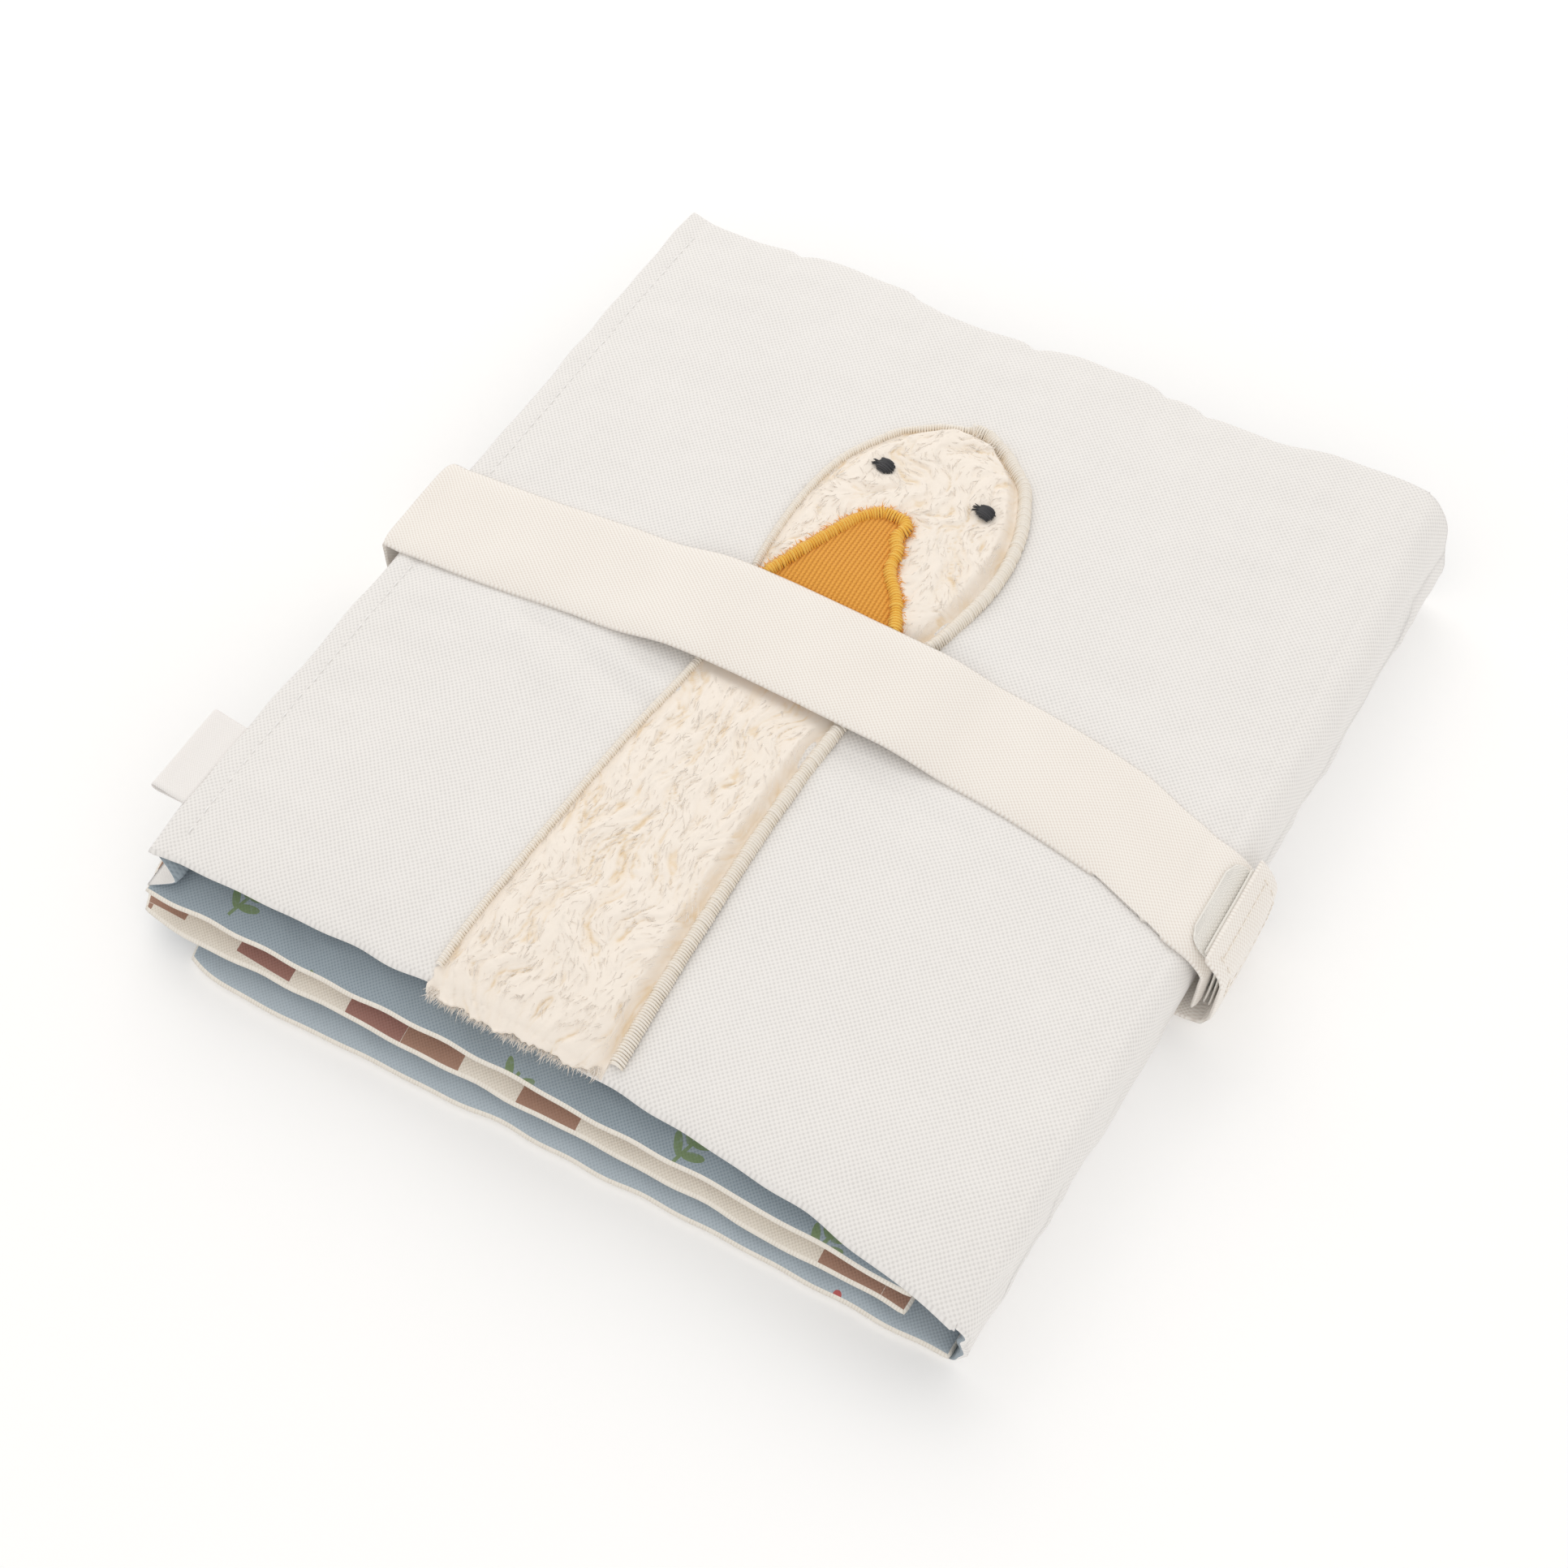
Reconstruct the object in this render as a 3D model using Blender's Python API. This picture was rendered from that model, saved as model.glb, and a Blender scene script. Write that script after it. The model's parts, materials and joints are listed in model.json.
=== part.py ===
"""A soft activity book for a baby: four padded cloth leaves folded into a stack and held by a strap.

The book is one long strip of cloth. Unfolded, it runs back leaf, spine, front leaf, gusset,
leaf B, inner fold, leaf C. Closed, the leaves lie back, C, B, front from the bottom up. A band
goes round the book, sewn under the back leaf, and closes at the spine with a hook and loop tab.
Metres, +Z up. X runs from the free edges to the spine, Y from the near edge to the far edge.
"""

import math
from dataclasses import dataclass

import bmesh
import bpy
from mathutils import Vector

# Leaves: size of the front leaf, cloth and filling
COVER_WIDTH = 0.1794
COVER_DEPTH = 0.2025
COVER_CENTRE_X = -0.0013
COVER_CENTRE_Y = 0.00425
LEAF_THICKNESS = 0.0063
COVER_THICKNESS = 0.0069
CLOTH = 0.0007
GAP = 0.0003
SEAM_ALLOWANCE = 0.006
CORNER_ROUNDING = 0.0035
FAR_EDGE_WAVE = 0.0014
FAR_EDGE_WAVES = 3
FULLNESS_POWER = 5
FULLNESS_SHARE = 0.6
DROOP_START_SHARE = 0.5
DROOP_POWER = 4

# Leaves: how far the edges of the inner and back leaves stand from those of the front leaf
BACK_LEFT_INSET = 0.008
BACK_NEAR_OVERHANG = 0.0062
BACK_NEAR_SLANT = 0.0057
BACK_FAR_INSET = 0.007
C_LEFT_OVERHANG = 0.003
C_NEAR_OVERHANG = 0.0037
C_NEAR_SLANT = 0.0045
C_FAR_INSET = 0.006
B_LEFT_INSET = 0.001
B_NEAR_OVERHANG = 0.0016
B_NEAR_SLANT = 0.0036
B_FAR_INSET = 0.004
INNER_FOLD_INSET = 0.0104
FAR_SLANT = 0.0055
FRONT_DRAW_IN = 0.0055
INNER_DRAW_IN = 0.0012
FRONT_NEAR_DROOP = 0.0015
B_NEAR_DROOP = 0.0022
C_NEAR_DROOP = 0.0026
C_LEFT_DROOP = 0.0014
CORNER_DROOP = 0.006
CORNER_DROOP_POWER = 3

# Spine, gusset and inner fold
SPINE_BULGE = 0.0052
SPINE_FLARE_SHARE = 0.6
FOLD_BULGE = 0.0034
FOLD_CLOTH = 0.0008
GUSSET_DEPTH = 0.0034
GUSSET_CLOTH = 0.0006

# Goose on the front leaf
GOOSE_CENTRE_X = -0.0029
GOOSE_WIDTH = 0.0447
GOOSE_HEIGHT = 0.1617
GOOSE_FOOT_INSET = 0.0036
PLUSH_PILE = 0.0022
PLUSH_PRESSED = 0.0008
PRESS_REACH = 0.008
EDGING_RADIUS = 0.0009
BEAK_HEIGHT = 0.046
BEAK_WIDTH = 0.0280
BEAK_KNIT = 0.0008
BEAK_OFFSET = 0.0022
BEAK_SATIN_RADIUS = 0.0006
EYE_LENGTH = 0.0040
EYE_WIDTH = 0.0030
EYE_THICKNESS = 0.0010
EYE_SPREAD = 0.0242
EYE_OFFSET = 0.0020
# Places on the goose as shares of its height: the beak's foot and the eyes
BEAK_FOOT_SHARE = 0.525
EYE_HEIGHT_SHARE = 0.8775
# Outline of the goose: share of its height, then its left and right edge as shares of its width
GOOSE_OUTLINE_SHARES = (
    (0.000, -0.53, 0.42),
    (0.166, -0.50, 0.31),
    (0.350, -0.46, 0.28),
    (0.515, -0.40, 0.30),
    (0.607, -0.42, 0.36),
    (0.689, -0.47, 0.46),
    (0.792, -0.48, 0.52),
    (0.874, -0.43, 0.49),
    (0.946, -0.29, 0.38),
    (0.982, -0.13, 0.22),
    (1.000, 0.02, 0.09),
)
# Outline of the beak: share of its height, then its two edges as shares of its width
BEAK_OUTLINE_SHARES = (
    (0.00, -0.26, 0.26),
    (0.12, -0.44, 0.44),
    (0.28, -0.54, 0.52),
    (0.43, -0.56, 0.535),
    (0.62, -0.43, 0.38),
    (0.815, -0.265, 0.21),
    (0.94, -0.13, 0.14),
    (1.00, -0.04, 0.08),
)

# Strap, closing tab and label
STRAP_WIDTH = 0.0245
STRAP_THICKNESS = 0.0013
STRAP_SIDE_CLEARANCE = 0.0006
STRAP_END_HEIGHT = 0.0080
STRAP_RUN_IN = 0.0040
STRAP_RISE = 0.015
STRAP_BOW = 0.0085
CHANNEL_MARGIN = 0.0012
CHANNEL_WALL = 0.004
SHOULDER_DROP = 0.0025
PATCH_THICKNESS = 0.0007
PATCH_MARGIN = 0.0020
LABEL_WIDTH = 0.020
LABEL_REACH = 0.0075
LABEL_CLOTH = 0.0003
LABEL_PINCH = 0.00036
LABEL_OPENING = 0.0024
LABEL_NEAR_INSET = 0.021
# Share of the cover's depth at which the strap crosses it
STRAP_PLACE_SHARE = 0.4652
# How the strap bows along its run: a share of the cover's width, then of the bow
STRAP_BOW_SHARES = (
    (-0.03, 0.00),
    (0.08, 0.10),
    (0.23, 0.52),
    (0.40, 0.88),
    (0.56, 0.97),
    (0.75, 1.00),
    (0.89, 0.70),
    (0.97, 0.20),
    (1.01, 0.00),
)
# Shares of the strap's run down the spine at which the patches and the tab's end begin
PATCH_TOP_SHARE = 0.15
TAB_TOP_SHARE = 0.35
# Share of a stretch that rounding cuts off at a corner, and the plush's height at its rim
CORNER_CUT_SHARE = 0.25
PLUSH_RIM_SHARE = 0.5

# Mesh steps
LEAF_STEPS = 12
FOLD_STEPS = 6
BAND_STEPS = 3
RUN_STEPS = 24
GOOSE_STEPS = 4
STRETCH_STEPS = 2
SMOOTHING_STEPS = 2
SEARCH_STEPS = 6
EYE_SIDES = 12
SMOOTH_ANGLE = math.radians(50)

COLOURS = {
    "canvas": (0.86, 0.85, 0.83),
    "blue_lining": (0.33, 0.41, 0.47),
    "page_cloth": (0.80, 0.75, 0.68),
    "wadding": (0.90, 0.90, 0.88),
    "plush": (0.86, 0.81, 0.70),
    "cream_thread": (0.84, 0.78, 0.66),
    "orange_knit": (0.82, 0.36, 0.06),
    "orange_thread": (0.86, 0.42, 0.07),
    "dark_thread": (0.03, 0.03, 0.035),
    "strap_twill": (0.88, 0.82, 0.73),
    "hook_tape": (0.80, 0.77, 0.70),
    "loop_tape": (0.84, 0.79, 0.70),
    "label_tape": (0.86, 0.83, 0.78),
}
ROUGHNESS = 0.85
THREAD_ROUGHNESS = 0.55

SEAM_HALF = CLOTH + GAP / 2


@dataclass(frozen=True)
class Leaf:
    """One padded leaf, its seam running all round at a height of its own."""

    left: float
    right: float
    near: float
    far: float
    base: float
    thickness: float
    seam: float
    near_slant: float = 0.0
    near_draw_in: float = INNER_DRAW_IN
    near_droop: float = 0.0
    left_droop: float = 0.0
    corner_droop: float = 0.0
    wave: float = 0.0
    channel: float = 0.0
    free_corner: float = 0.0

    def plan(self, u, v):
        """The point of the leaf at shares u and v, from -1 to 1: slanted, drawn-in ends, round corners."""
        x, y = leaf_point(self, u, v)
        near, far = edge_share(-v), edge_share(v)
        slant = u * (near * self.near_slant + far * FAR_SLANT)
        draw_in = (1 - u * u) * near * near * self.near_draw_in
        ripple = self.wave * far * far * math.sin(FAR_EDGE_WAVES * math.pi * u)
        rounding = self.free_corner * (edge_share(-u) * max(near, far)) ** DROOP_POWER
        return x + rounding, y + slant + draw_in + ripple - math.copysign(rounding, v)

    def shares(self, x, y):
        """The place of a point across the leaf, from -1 to 1 each way."""
        u = max(-1, min(1, (2 * x - self.left - self.right) / (self.right - self.left)))
        v = 0.0
        for _ in range(SEARCH_STEPS):
            v += 2 * (y - self.plan(u, v)[1]) / (self.far - self.near)
            v = max(-1, min(1, v))
        return u, v

    def fullness(self, u, v):
        """Share of the filling's full height, falling to none at the seam."""
        across = 1 - abs(u) ** FULLNESS_POWER
        along = 1 - abs(v) ** FULLNESS_POWER
        return (across * along) ** FULLNESS_SHARE

    def droop(self, u, v):
        """How far gravity and handling lower the edges."""
        near = edge_share(-v) ** DROOP_POWER * self.near_droop
        left = edge_share(-u) ** DROOP_POWER * self.left_droop
        corner = (edge_share(u) * edge_share(-v)) ** CORNER_DROOP_POWER * self.corner_droop
        return near + left + corner

    def lift(self, y):
        """How far the strap presses the underside up in the channel it lies in."""
        reach = STRAP_WIDTH / 2 + CHANNEL_MARGIN
        beyond = abs(y - STRAP_CENTRE_Y) - reach
        return self.channel * max(0, min(1, 1 - beyond / CHANNEL_WALL))

    def faces(self, u, v):
        """Heights of the leaf's underside and top at shares u and v."""
        full, lift = self.fullness(u, v), self.lift(self.plan(u, v)[1])
        fall = self.seam - SEAM_HALF
        rise = self.thickness - self.seam - SEAM_HALF
        base = self.base - self.droop(u, v)
        low = base + fall * (1 - full) + lift
        high = base + self.seam + SEAM_HALF + rise * full + lift * (1 - full)
        return low, high

    def bottom(self, x, y):
        return self.faces(*self.shares(x, y))[0]

    def top(self, x, y):
        return self.faces(*self.shares(x, y))[1]


def edge_share(share):
    """None in a leaf's middle, then growing to 1 at the edge that share runs to."""
    return max(0, (share - DROOP_START_SHARE) / (1 - DROOP_START_SHARE))


def leaf_point(leaf, u, v):
    """The point of the leaf's full rectangle at shares u and v."""
    x = (leaf.left + leaf.right) / 2 + u * (leaf.right - leaf.left) / 2
    y = (leaf.near + leaf.far) / 2 + v * (leaf.far - leaf.near) / 2
    return x, y


def front_leaf(base):
    return Leaf(
        left=COVER_CENTRE_X - COVER_WIDTH / 2,
        right=COVER_CENTRE_X + COVER_WIDTH / 2,
        near=COVER_CENTRE_Y - COVER_DEPTH / 2,
        far=COVER_CENTRE_Y + COVER_DEPTH / 2,
        base=base,
        thickness=COVER_THICKNESS,
        seam=COVER_THICKNESS / 2,
        near_draw_in=FRONT_DRAW_IN,
        near_droop=FRONT_NEAR_DROOP,
        corner_droop=CORNER_DROOP,
        wave=FAR_EDGE_WAVE,
    )


# The stack from the bottom up
CHANNEL_DEPTH = STRAP_THICKNESS + 2 * GAP
STRAP_CENTRE_Y = COVER_CENTRE_Y + COVER_DEPTH * (STRAP_PLACE_SHARE - 1 / 2)
FRONT_PLAN = front_leaf(0.0)
BACK = Leaf(
    left=FRONT_PLAN.left + BACK_LEFT_INSET,
    right=FRONT_PLAN.right,
    near=FRONT_PLAN.near - BACK_NEAR_OVERHANG,
    far=FRONT_PLAN.far - BACK_FAR_INSET,
    base=0.0,
    thickness=LEAF_THICKNESS,
    seam=SEAM_HALF,
    near_slant=BACK_NEAR_SLANT,
    channel=CHANNEL_DEPTH,
    free_corner=CORNER_ROUNDING,
)
LEAF_C = Leaf(
    left=FRONT_PLAN.left - C_LEFT_OVERHANG,
    right=FRONT_PLAN.right - INNER_FOLD_INSET,
    near=FRONT_PLAN.near - C_NEAR_OVERHANG,
    far=FRONT_PLAN.far - C_FAR_INSET,
    base=BACK.base + LEAF_THICKNESS + GAP,
    thickness=LEAF_THICKNESS,
    seam=LEAF_THICKNESS / 2,
    near_slant=C_NEAR_SLANT,
    near_droop=C_NEAR_DROOP,
    left_droop=C_LEFT_DROOP,
    free_corner=CORNER_ROUNDING,
)
LEAF_B = Leaf(
    left=FRONT_PLAN.left + B_LEFT_INSET,
    right=LEAF_C.right,
    near=FRONT_PLAN.near - B_NEAR_OVERHANG,
    far=FRONT_PLAN.far - B_FAR_INSET,
    base=LEAF_C.base + LEAF_THICKNESS + GAP,
    thickness=LEAF_THICKNESS,
    seam=LEAF_THICKNESS / 2,
    near_slant=B_NEAR_SLANT,
    near_droop=B_NEAR_DROOP,
)
FRONT = front_leaf(LEAF_B.base + LEAF_THICKNESS + GAP)

# Lines of the spine and the strap, in the plane across the book
SPINE_X = FRONT.right + GAP
SPINE_LOW_Z = BACK.seam + SEAM_HALF + CLOTH
SPINE_HIGH_Z = FRONT.base + FRONT.seam
STRAP_LEFT_X = LEAF_C.left - STRAP_SIDE_CLEARANCE - STRAP_THICKNESS / 2
STRAP_BACK_Z = GAP + STRAP_THICKNESS / 2
STRAP_FOOT_Z = STRAP_BACK_Z + STRAP_THICKNESS / 2 + GAP
STRAP_SIDE_TOP_Z = FRONT.base + FRONT.seam + SEAM_HALF
STRAP_LIFT = 3 * GAP + PLUSH_PRESSED + 2 * BEAK_SATIN_RADIUS
SPINE_CLOTHS = 2 * CLOTH + GAP
STRAP_RIGHT_X = SPINE_X + SPINE_BULGE + SPINE_CLOTHS + GAP + STRAP_THICKNESS / 2
HOOK_OFFSET = STRAP_THICKNESS / 2 + GAP + PATCH_THICKNESS / 2
LOOP_OFFSET = HOOK_OFFSET + PATCH_THICKNESS + GAP
TAB_OFFSET = LOOP_OFFSET + PATCH_THICKNESS / 2 + GAP + STRAP_THICKNESS / 2
GOOSE_FOOT_Y = FRONT.near + FRONT_DRAW_IN + GOOSE_FOOT_INSET
# The frame's origin is under the middle of the whole book
LEFT_REACH = FRONT.left - GAP - LABEL_REACH
RIGHT_REACH = STRAP_RIGHT_X + TAB_OFFSET + STRAP_THICKNESS / 2
ORIGIN_X = (LEFT_REACH + RIGHT_REACH) / 2
ORIGIN_Y = (BACK.plan(-1, -1)[1] + FRONT.plan(1, 1)[1]) / 2
LABEL_CENTRE_Y = FRONT.near + LABEL_NEAR_INSET
# Each joint's axis runs along Y: its place across the book, its height and the pieces it carries
AXES = {
    "spine_axis": (SPINE_X, SPINE_LOW_Z, ("spine_lining", "spine_outer_cover")),
    "front_axis": (SPINE_X, SPINE_HIGH_Z, (
        "front_lining", "front_outer_cover", "front_wadding", "gusset", "leaf_b_page",
        "leaf_b_lining", "leaf_b_wadding", "goose_plush", "goose_edging", "beak", "beak_edging",
        "left_eye", "right_eye",
    )),
    "inner_fold_axis": (LEAF_B.right + GAP, LEAF_B.base + LEAF_B.seam, ("inner_fold",)),
    "leaf_c_axis": (
        LEAF_C.right + GAP, LEAF_C.base + LEAF_C.seam,
        ("leaf_c_lining", "leaf_c_page", "leaf_c_wadding"),
    ),
    "strap_side_axis": (STRAP_LEFT_X, STRAP_BACK_Z, ("strap_side",)),
    "strap_front_axis": (
        STRAP_LEFT_X - STRAP_THICKNESS / 2, STRAP_SIDE_TOP_Z, ("strap_front", "hook_patch"),
    ),
    "tab_axis": (STRAP_RIGHT_X + TAB_OFFSET, STRAP_BACK_Z, ("closing_tab", "loop_patch")),
    "label_axis": (FRONT.left - GAP, FRONT.base + FRONT.seam, ("label",)),
}


def clear_scene():
    for old in list(bpy.data.objects):
        bpy.data.objects.remove(old, do_unlink=True)


def make_material(name):
    """A plain cloth or thread material in the piece's colour."""
    material = bpy.data.materials.new(name)
    material.use_nodes = True
    shader = material.node_tree.nodes["Principled BSDF"]
    shader.inputs["Base Color"].default_value = (*COLOURS[name], 1.0)
    shader.inputs["Roughness"].default_value = THREAD_ROUGHNESS if "thread" in name else ROUGHNESS
    shader.inputs["Metallic"].default_value = 0.0
    return material


def spaced(count):
    """Places from -1 to 1 that crowd towards the ends, where a leaf curves most."""
    return [math.sin(math.pi / 2 * (2 * i / count - 1)) for i in range(count + 1)]


def between(stations, share):
    """A smooth value read between stations, each a share followed by its values."""
    last = len(stations) - 2
    i = max(k for k in range(last + 1) if stations[k][0] <= share or k == 0)
    before, start = stations[max(0, i - 1)], stations[i]
    end, after = stations[i + 1], stations[min(last + 1, i + 2)]
    t = (share - start[0]) / (end[0] - start[0])
    return [
        0.5 * (2 * b + (c - a) * t + (2 * a - 5 * b + 4 * c - d) * t * t
               + (3 * b - a - 3 * c + d) * t ** 3)
        for a, b, c, d in zip(before[1:], start[1:], end[1:], after[1:])
    ]


def station_rows(stations):
    """The shares at and between the stations of an outline."""
    rows = []
    for low, high in zip(stations, stations[1:]):
        rows += [low[0] + (high[0] - low[0]) * k / STRETCH_STEPS for k in range(STRETCH_STEPS)]
    return rows + [stations[-1][0]]


class Workshop:
    """Makes the pieces, each its own object in the book's collection."""

    def __init__(self, name):
        self.collection = bpy.data.collections.new(name)
        bpy.context.scene.collection.children.link(self.collection)
        self.materials = {key: make_material(key) for key in COLOURS}

    def keep(self, mesh_or_curve, name, material):
        """Links the shape as a piece, dressed and shaded."""
        mesh_or_curve.materials.append(self.materials[material])
        piece = bpy.data.objects.new(name, mesh_or_curve)
        piece.location = (-ORIGIN_X, -ORIGIN_Y, 0.0)
        self.collection.objects.link(piece)
        if piece.type == "MESH":
            mesh_or_curve.shade_smooth()
            mesh_or_curve.set_sharp_from_angle(angle=SMOOTH_ANGLE)
        return piece

    def cloth(self, name, material, columns, rows, place):
        """A closed piece of cloth or filling between two faces.

        place(column, row, face) gives the point of each face, 0 below and 1 above.
        """
        shape = bmesh.new()
        bmesh.ops.create_grid(shape, x_segments=columns, y_segments=rows, size=1)
        lower = list(shape.verts)
        cells = {v: (round((v.co.x + 1) / 2 * columns), round((v.co.y + 1) / 2 * rows)) for v in lower}
        grown = bmesh.ops.extrude_face_region(shape, geom=list(shape.faces), use_keep_orig=True)
        upper = [e for e in grown["geom"] if isinstance(e, bmesh.types.BMVert)]
        for v in upper:
            cells[v] = (round((v.co.x + 1) / 2 * columns), round((v.co.y + 1) / 2 * rows))
        for v in lower:
            v.co = Vector(place(*cells[v], 0))
        for v in upper:
            v.co = Vector(place(*cells[v], 1))
        bmesh.ops.recalc_face_normals(shape, faces=shape.faces)
        if shape.calc_volume(signed=True) < 0:
            bmesh.ops.reverse_faces(shape, faces=shape.faces)
        mesh = bpy.data.meshes.new(name)
        shape.to_mesh(mesh)
        shape.free()
        return self.keep(mesh, name, material)

    def tube(self, name, material, points, radius, closed=False):
        """A sewn edging: a round cord along a route of points."""
        curve = bpy.data.curves.new(name, "CURVE")
        curve.dimensions = "3D"
        curve.bevel_depth = radius
        curve.bevel_resolution = 1
        curve.use_fill_caps = True
        spline = curve.splines.new("POLY")
        spline.points.add(len(points) - 1)
        spline.use_cyclic_u = closed
        for target, point in zip(spline.points, points):
            target.co = (*point, 1.0)
        return self.keep(curve, name, material)

    def band(self, name, material, route, width, thickness, middle, offset=0.0):
        """A flat tape of one width along a route across the book; middle(x) is its middle line's y."""
        path = [Vector((x, 0.0, z)) for x, z in route]

        def place(column, row, face):
            before, after = path[max(0, column - 1)], path[min(len(path) - 1, column + 1)]
            along = (after - before).normalized()
            out = Vector((-along.z, 0.0, along.x))
            point = path[column] + out * (offset + (face - 0.5) * thickness)
            return point.x, middle(path[column].x) + (row / BAND_STEPS - 0.5) * width, point.z

        return self.cloth(name, material, len(path) - 1, BAND_STEPS, place)


def rounded(route, steps=SMOOTHING_STEPS):
    """Cuts the corners of a route, keeping its two ends."""
    for _ in range(steps):
        cut = [route[0]]
        for (x0, z0), (x1, z1) in zip(route, route[1:]):
            across, up = (x1 - x0) * CORNER_CUT_SHARE, (z1 - z0) * CORNER_CUT_SHARE
            cut += [(x0 + across, z0 + up), (x1 - across, z1 - up)]
        route = cut[:1] + cut[2:-2] + [route[-1]]
    return route


def leaf_grid(leaf):
    """The leaf's columns and rows, from -1 to 1: its edge, its seam allowance, then the filling."""
    shrink_x = 1 - 2 * SEAM_ALLOWANCE / (leaf.right - leaf.left)
    shrink_y = 1 - 2 * SEAM_ALLOWANCE / (leaf.far - leaf.near)
    inner = spaced(LEAF_STEPS - 2)
    rows = [v * shrink_y for v in inner]
    if leaf.channel:
        reach = STRAP_WIDTH / 2 + CHANNEL_MARGIN
        sides = (-reach - CHANNEL_WALL, -reach, reach, reach + CHANNEL_WALL)
        walls = [leaf.shares(leaf.left, STRAP_CENTRE_Y + side)[1] for side in sides]
        rows = sorted([v for v in rows if v < walls[0] or v > walls[-1]] + walls)
    return [-1] + [u * shrink_x for u in inner] + [1], [-1] + rows + [1]


def make_leaf(shop, prefix, leaf, lower, upper):
    """A padded leaf: its lower cloth, its filling and its upper cloth, each a name and a material."""
    columns, rows = leaf_grid(leaf)

    def layer(name, material, across, along, heights):
        def place(column, row, face):
            u, v = across[column], along[row]
            return *leaf.plan(u, v), heights(*leaf.faces(u, v))[face]

        shop.cloth(f"{prefix}_{name}", material, len(across) - 1, len(along) - 1, place)

    def lower_cloth(low, high):
        return low, low + CLOTH

    def upper_cloth(low, high):
        return high - CLOTH, high

    def filling(low, high):
        return low + CLOTH + GAP, high - CLOTH - GAP

    layer(*lower, columns, rows, lower_cloth)
    layer(*upper, columns, rows, upper_cloth)
    layer("wadding", "wadding", columns[1:-1], rows[1:-1], filling)


def make_spine(shop):
    """The strip that joins the back leaf to the front leaf, canvas outside and lining inside."""
    rows = spaced(LEAF_STEPS)

    def strip(name, material, inner_offset, end_margin):
        def place(column, row, face):
            v = rows[row]
            share = column / LEAF_STEPS
            y = BACK.plan(1, v)[1] * (1 - share) + FRONT.plan(1, v)[1] * share
            top = SPINE_HIGH_Z - FRONT.droop(1, v) - end_margin
            low = SPINE_LOW_Z + end_margin
            bulge = SPINE_BULGE * (1 + SPINE_FLARE_SHARE * v)
            x = SPINE_X + bulge * math.sin(math.pi * share)
            return x + inner_offset + face * CLOTH, y, low + (top - low) * share

        shop.cloth(name, material, LEAF_STEPS, LEAF_STEPS, place)

    strip("spine_lining", "blue_lining", 0.0, GAP)
    strip("spine_outer_cover", "canvas", CLOTH + GAP, 0.0)


def make_gusset(shop):
    """The narrow strip that joins the front leaf to leaf B, buckled inwards along its middle."""
    near, far = FRONT.plan(-1, -1)[1] + GUSSET_DEPTH, LEAF_B.plan(-1, 1)[1] - GUSSET_DEPTH

    def place(column, row, face):
        y = near + (far - near) * row / LEAF_STEPS
        high = FRONT.bottom(FRONT.left, y) - GAP - GUSSET_CLOTH
        low = LEAF_B.top(LEAF_B.left, y) + GAP + GUSSET_CLOTH
        turn = 2 * math.pi * column / LEAF_STEPS
        depth = GUSSET_DEPTH * (1 - math.cos(turn)) / 2
        cloth = (face - 1) * GUSSET_CLOTH
        return FRONT.left + GAP + GUSSET_CLOTH + depth + cloth, y, low + (high - low) * column / LEAF_STEPS

    shop.cloth("gusset", "canvas", LEAF_STEPS, LEAF_STEPS, place)


def make_inner_fold(shop):
    """The strip that joins leaf B to leaf C, bowed outwards."""
    low, high = LEAF_C.base + LEAF_C.seam, LEAF_B.base + LEAF_B.seam
    x = LEAF_B.right + GAP + FOLD_CLOTH / 2
    route = []
    for i in range(FOLD_STEPS + 1):
        share = i / FOLD_STEPS
        route.append((x + FOLD_BULGE * math.sin(math.pi * share), low + (high - low) * share))
    near = max(LEAF_B.plan(1, -1)[1], LEAF_C.plan(1, -1)[1]) + CORNER_ROUNDING
    far = min(LEAF_B.plan(1, 1)[1], LEAF_C.plan(1, 1)[1]) - CORNER_ROUNDING
    shop.band("inner_fold", "blue_lining", route, far - near, FOLD_CLOTH, lambda x: (near + far) / 2)


def goose_edges(share):
    """The height along the book of a row of the goose, and its left and right edge."""
    left, right = between(GOOSE_OUTLINE_SHARES, share)
    y = GOOSE_FOOT_Y + share * GOOSE_HEIGHT
    return y, GOOSE_CENTRE_X + left * GOOSE_WIDTH, GOOSE_CENTRE_X + right * GOOSE_WIDTH


def pile_height(y):
    """The plush's height, pressed down where the strap crosses it."""
    beyond = abs(y - strap_middle(GOOSE_CENTRE_X)) - STRAP_WIDTH / 2
    share = max(0, min(1, beyond / PRESS_REACH))
    return PLUSH_PRESSED + (PLUSH_PILE - PLUSH_PRESSED) * share


def plush_top(x, y):
    return FRONT.top(x, y) + GAP + pile_height(y)


def make_goose(shop):
    """The plush goose with its sewn edging, and its beak and eyes."""
    rows = station_rows(GOOSE_OUTLINE_SHARES)

    def place(column, row, face):
        y, left, right = goose_edges(rows[row])
        share = column / GOOSE_STEPS
        x = left + (right - left) * share
        rim = 1 - abs(2 * share - 1) ** FULLNESS_POWER * (1 - PLUSH_RIM_SHARE)
        return x, y, FRONT.top(x, y) + GAP + face * pile_height(y) * rim

    shop.cloth("goose_plush", "plush", GOOSE_STEPS, len(rows) - 1, place)
    make_goose_edging(shop, rows)
    make_beak(shop)
    make_eyes(shop)


def outward(points, distance):
    """The route moved sideways to its left by a distance."""
    moved = []
    for i, (x, y) in enumerate(points):
        before, after = points[max(0, i - 1)], points[min(len(points) - 1, i + 1)]
        along = Vector((after[0] - before[0], after[1] - before[1])).normalized()
        moved.append((x - along.y * distance, y + along.x * distance))
    return moved


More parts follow.
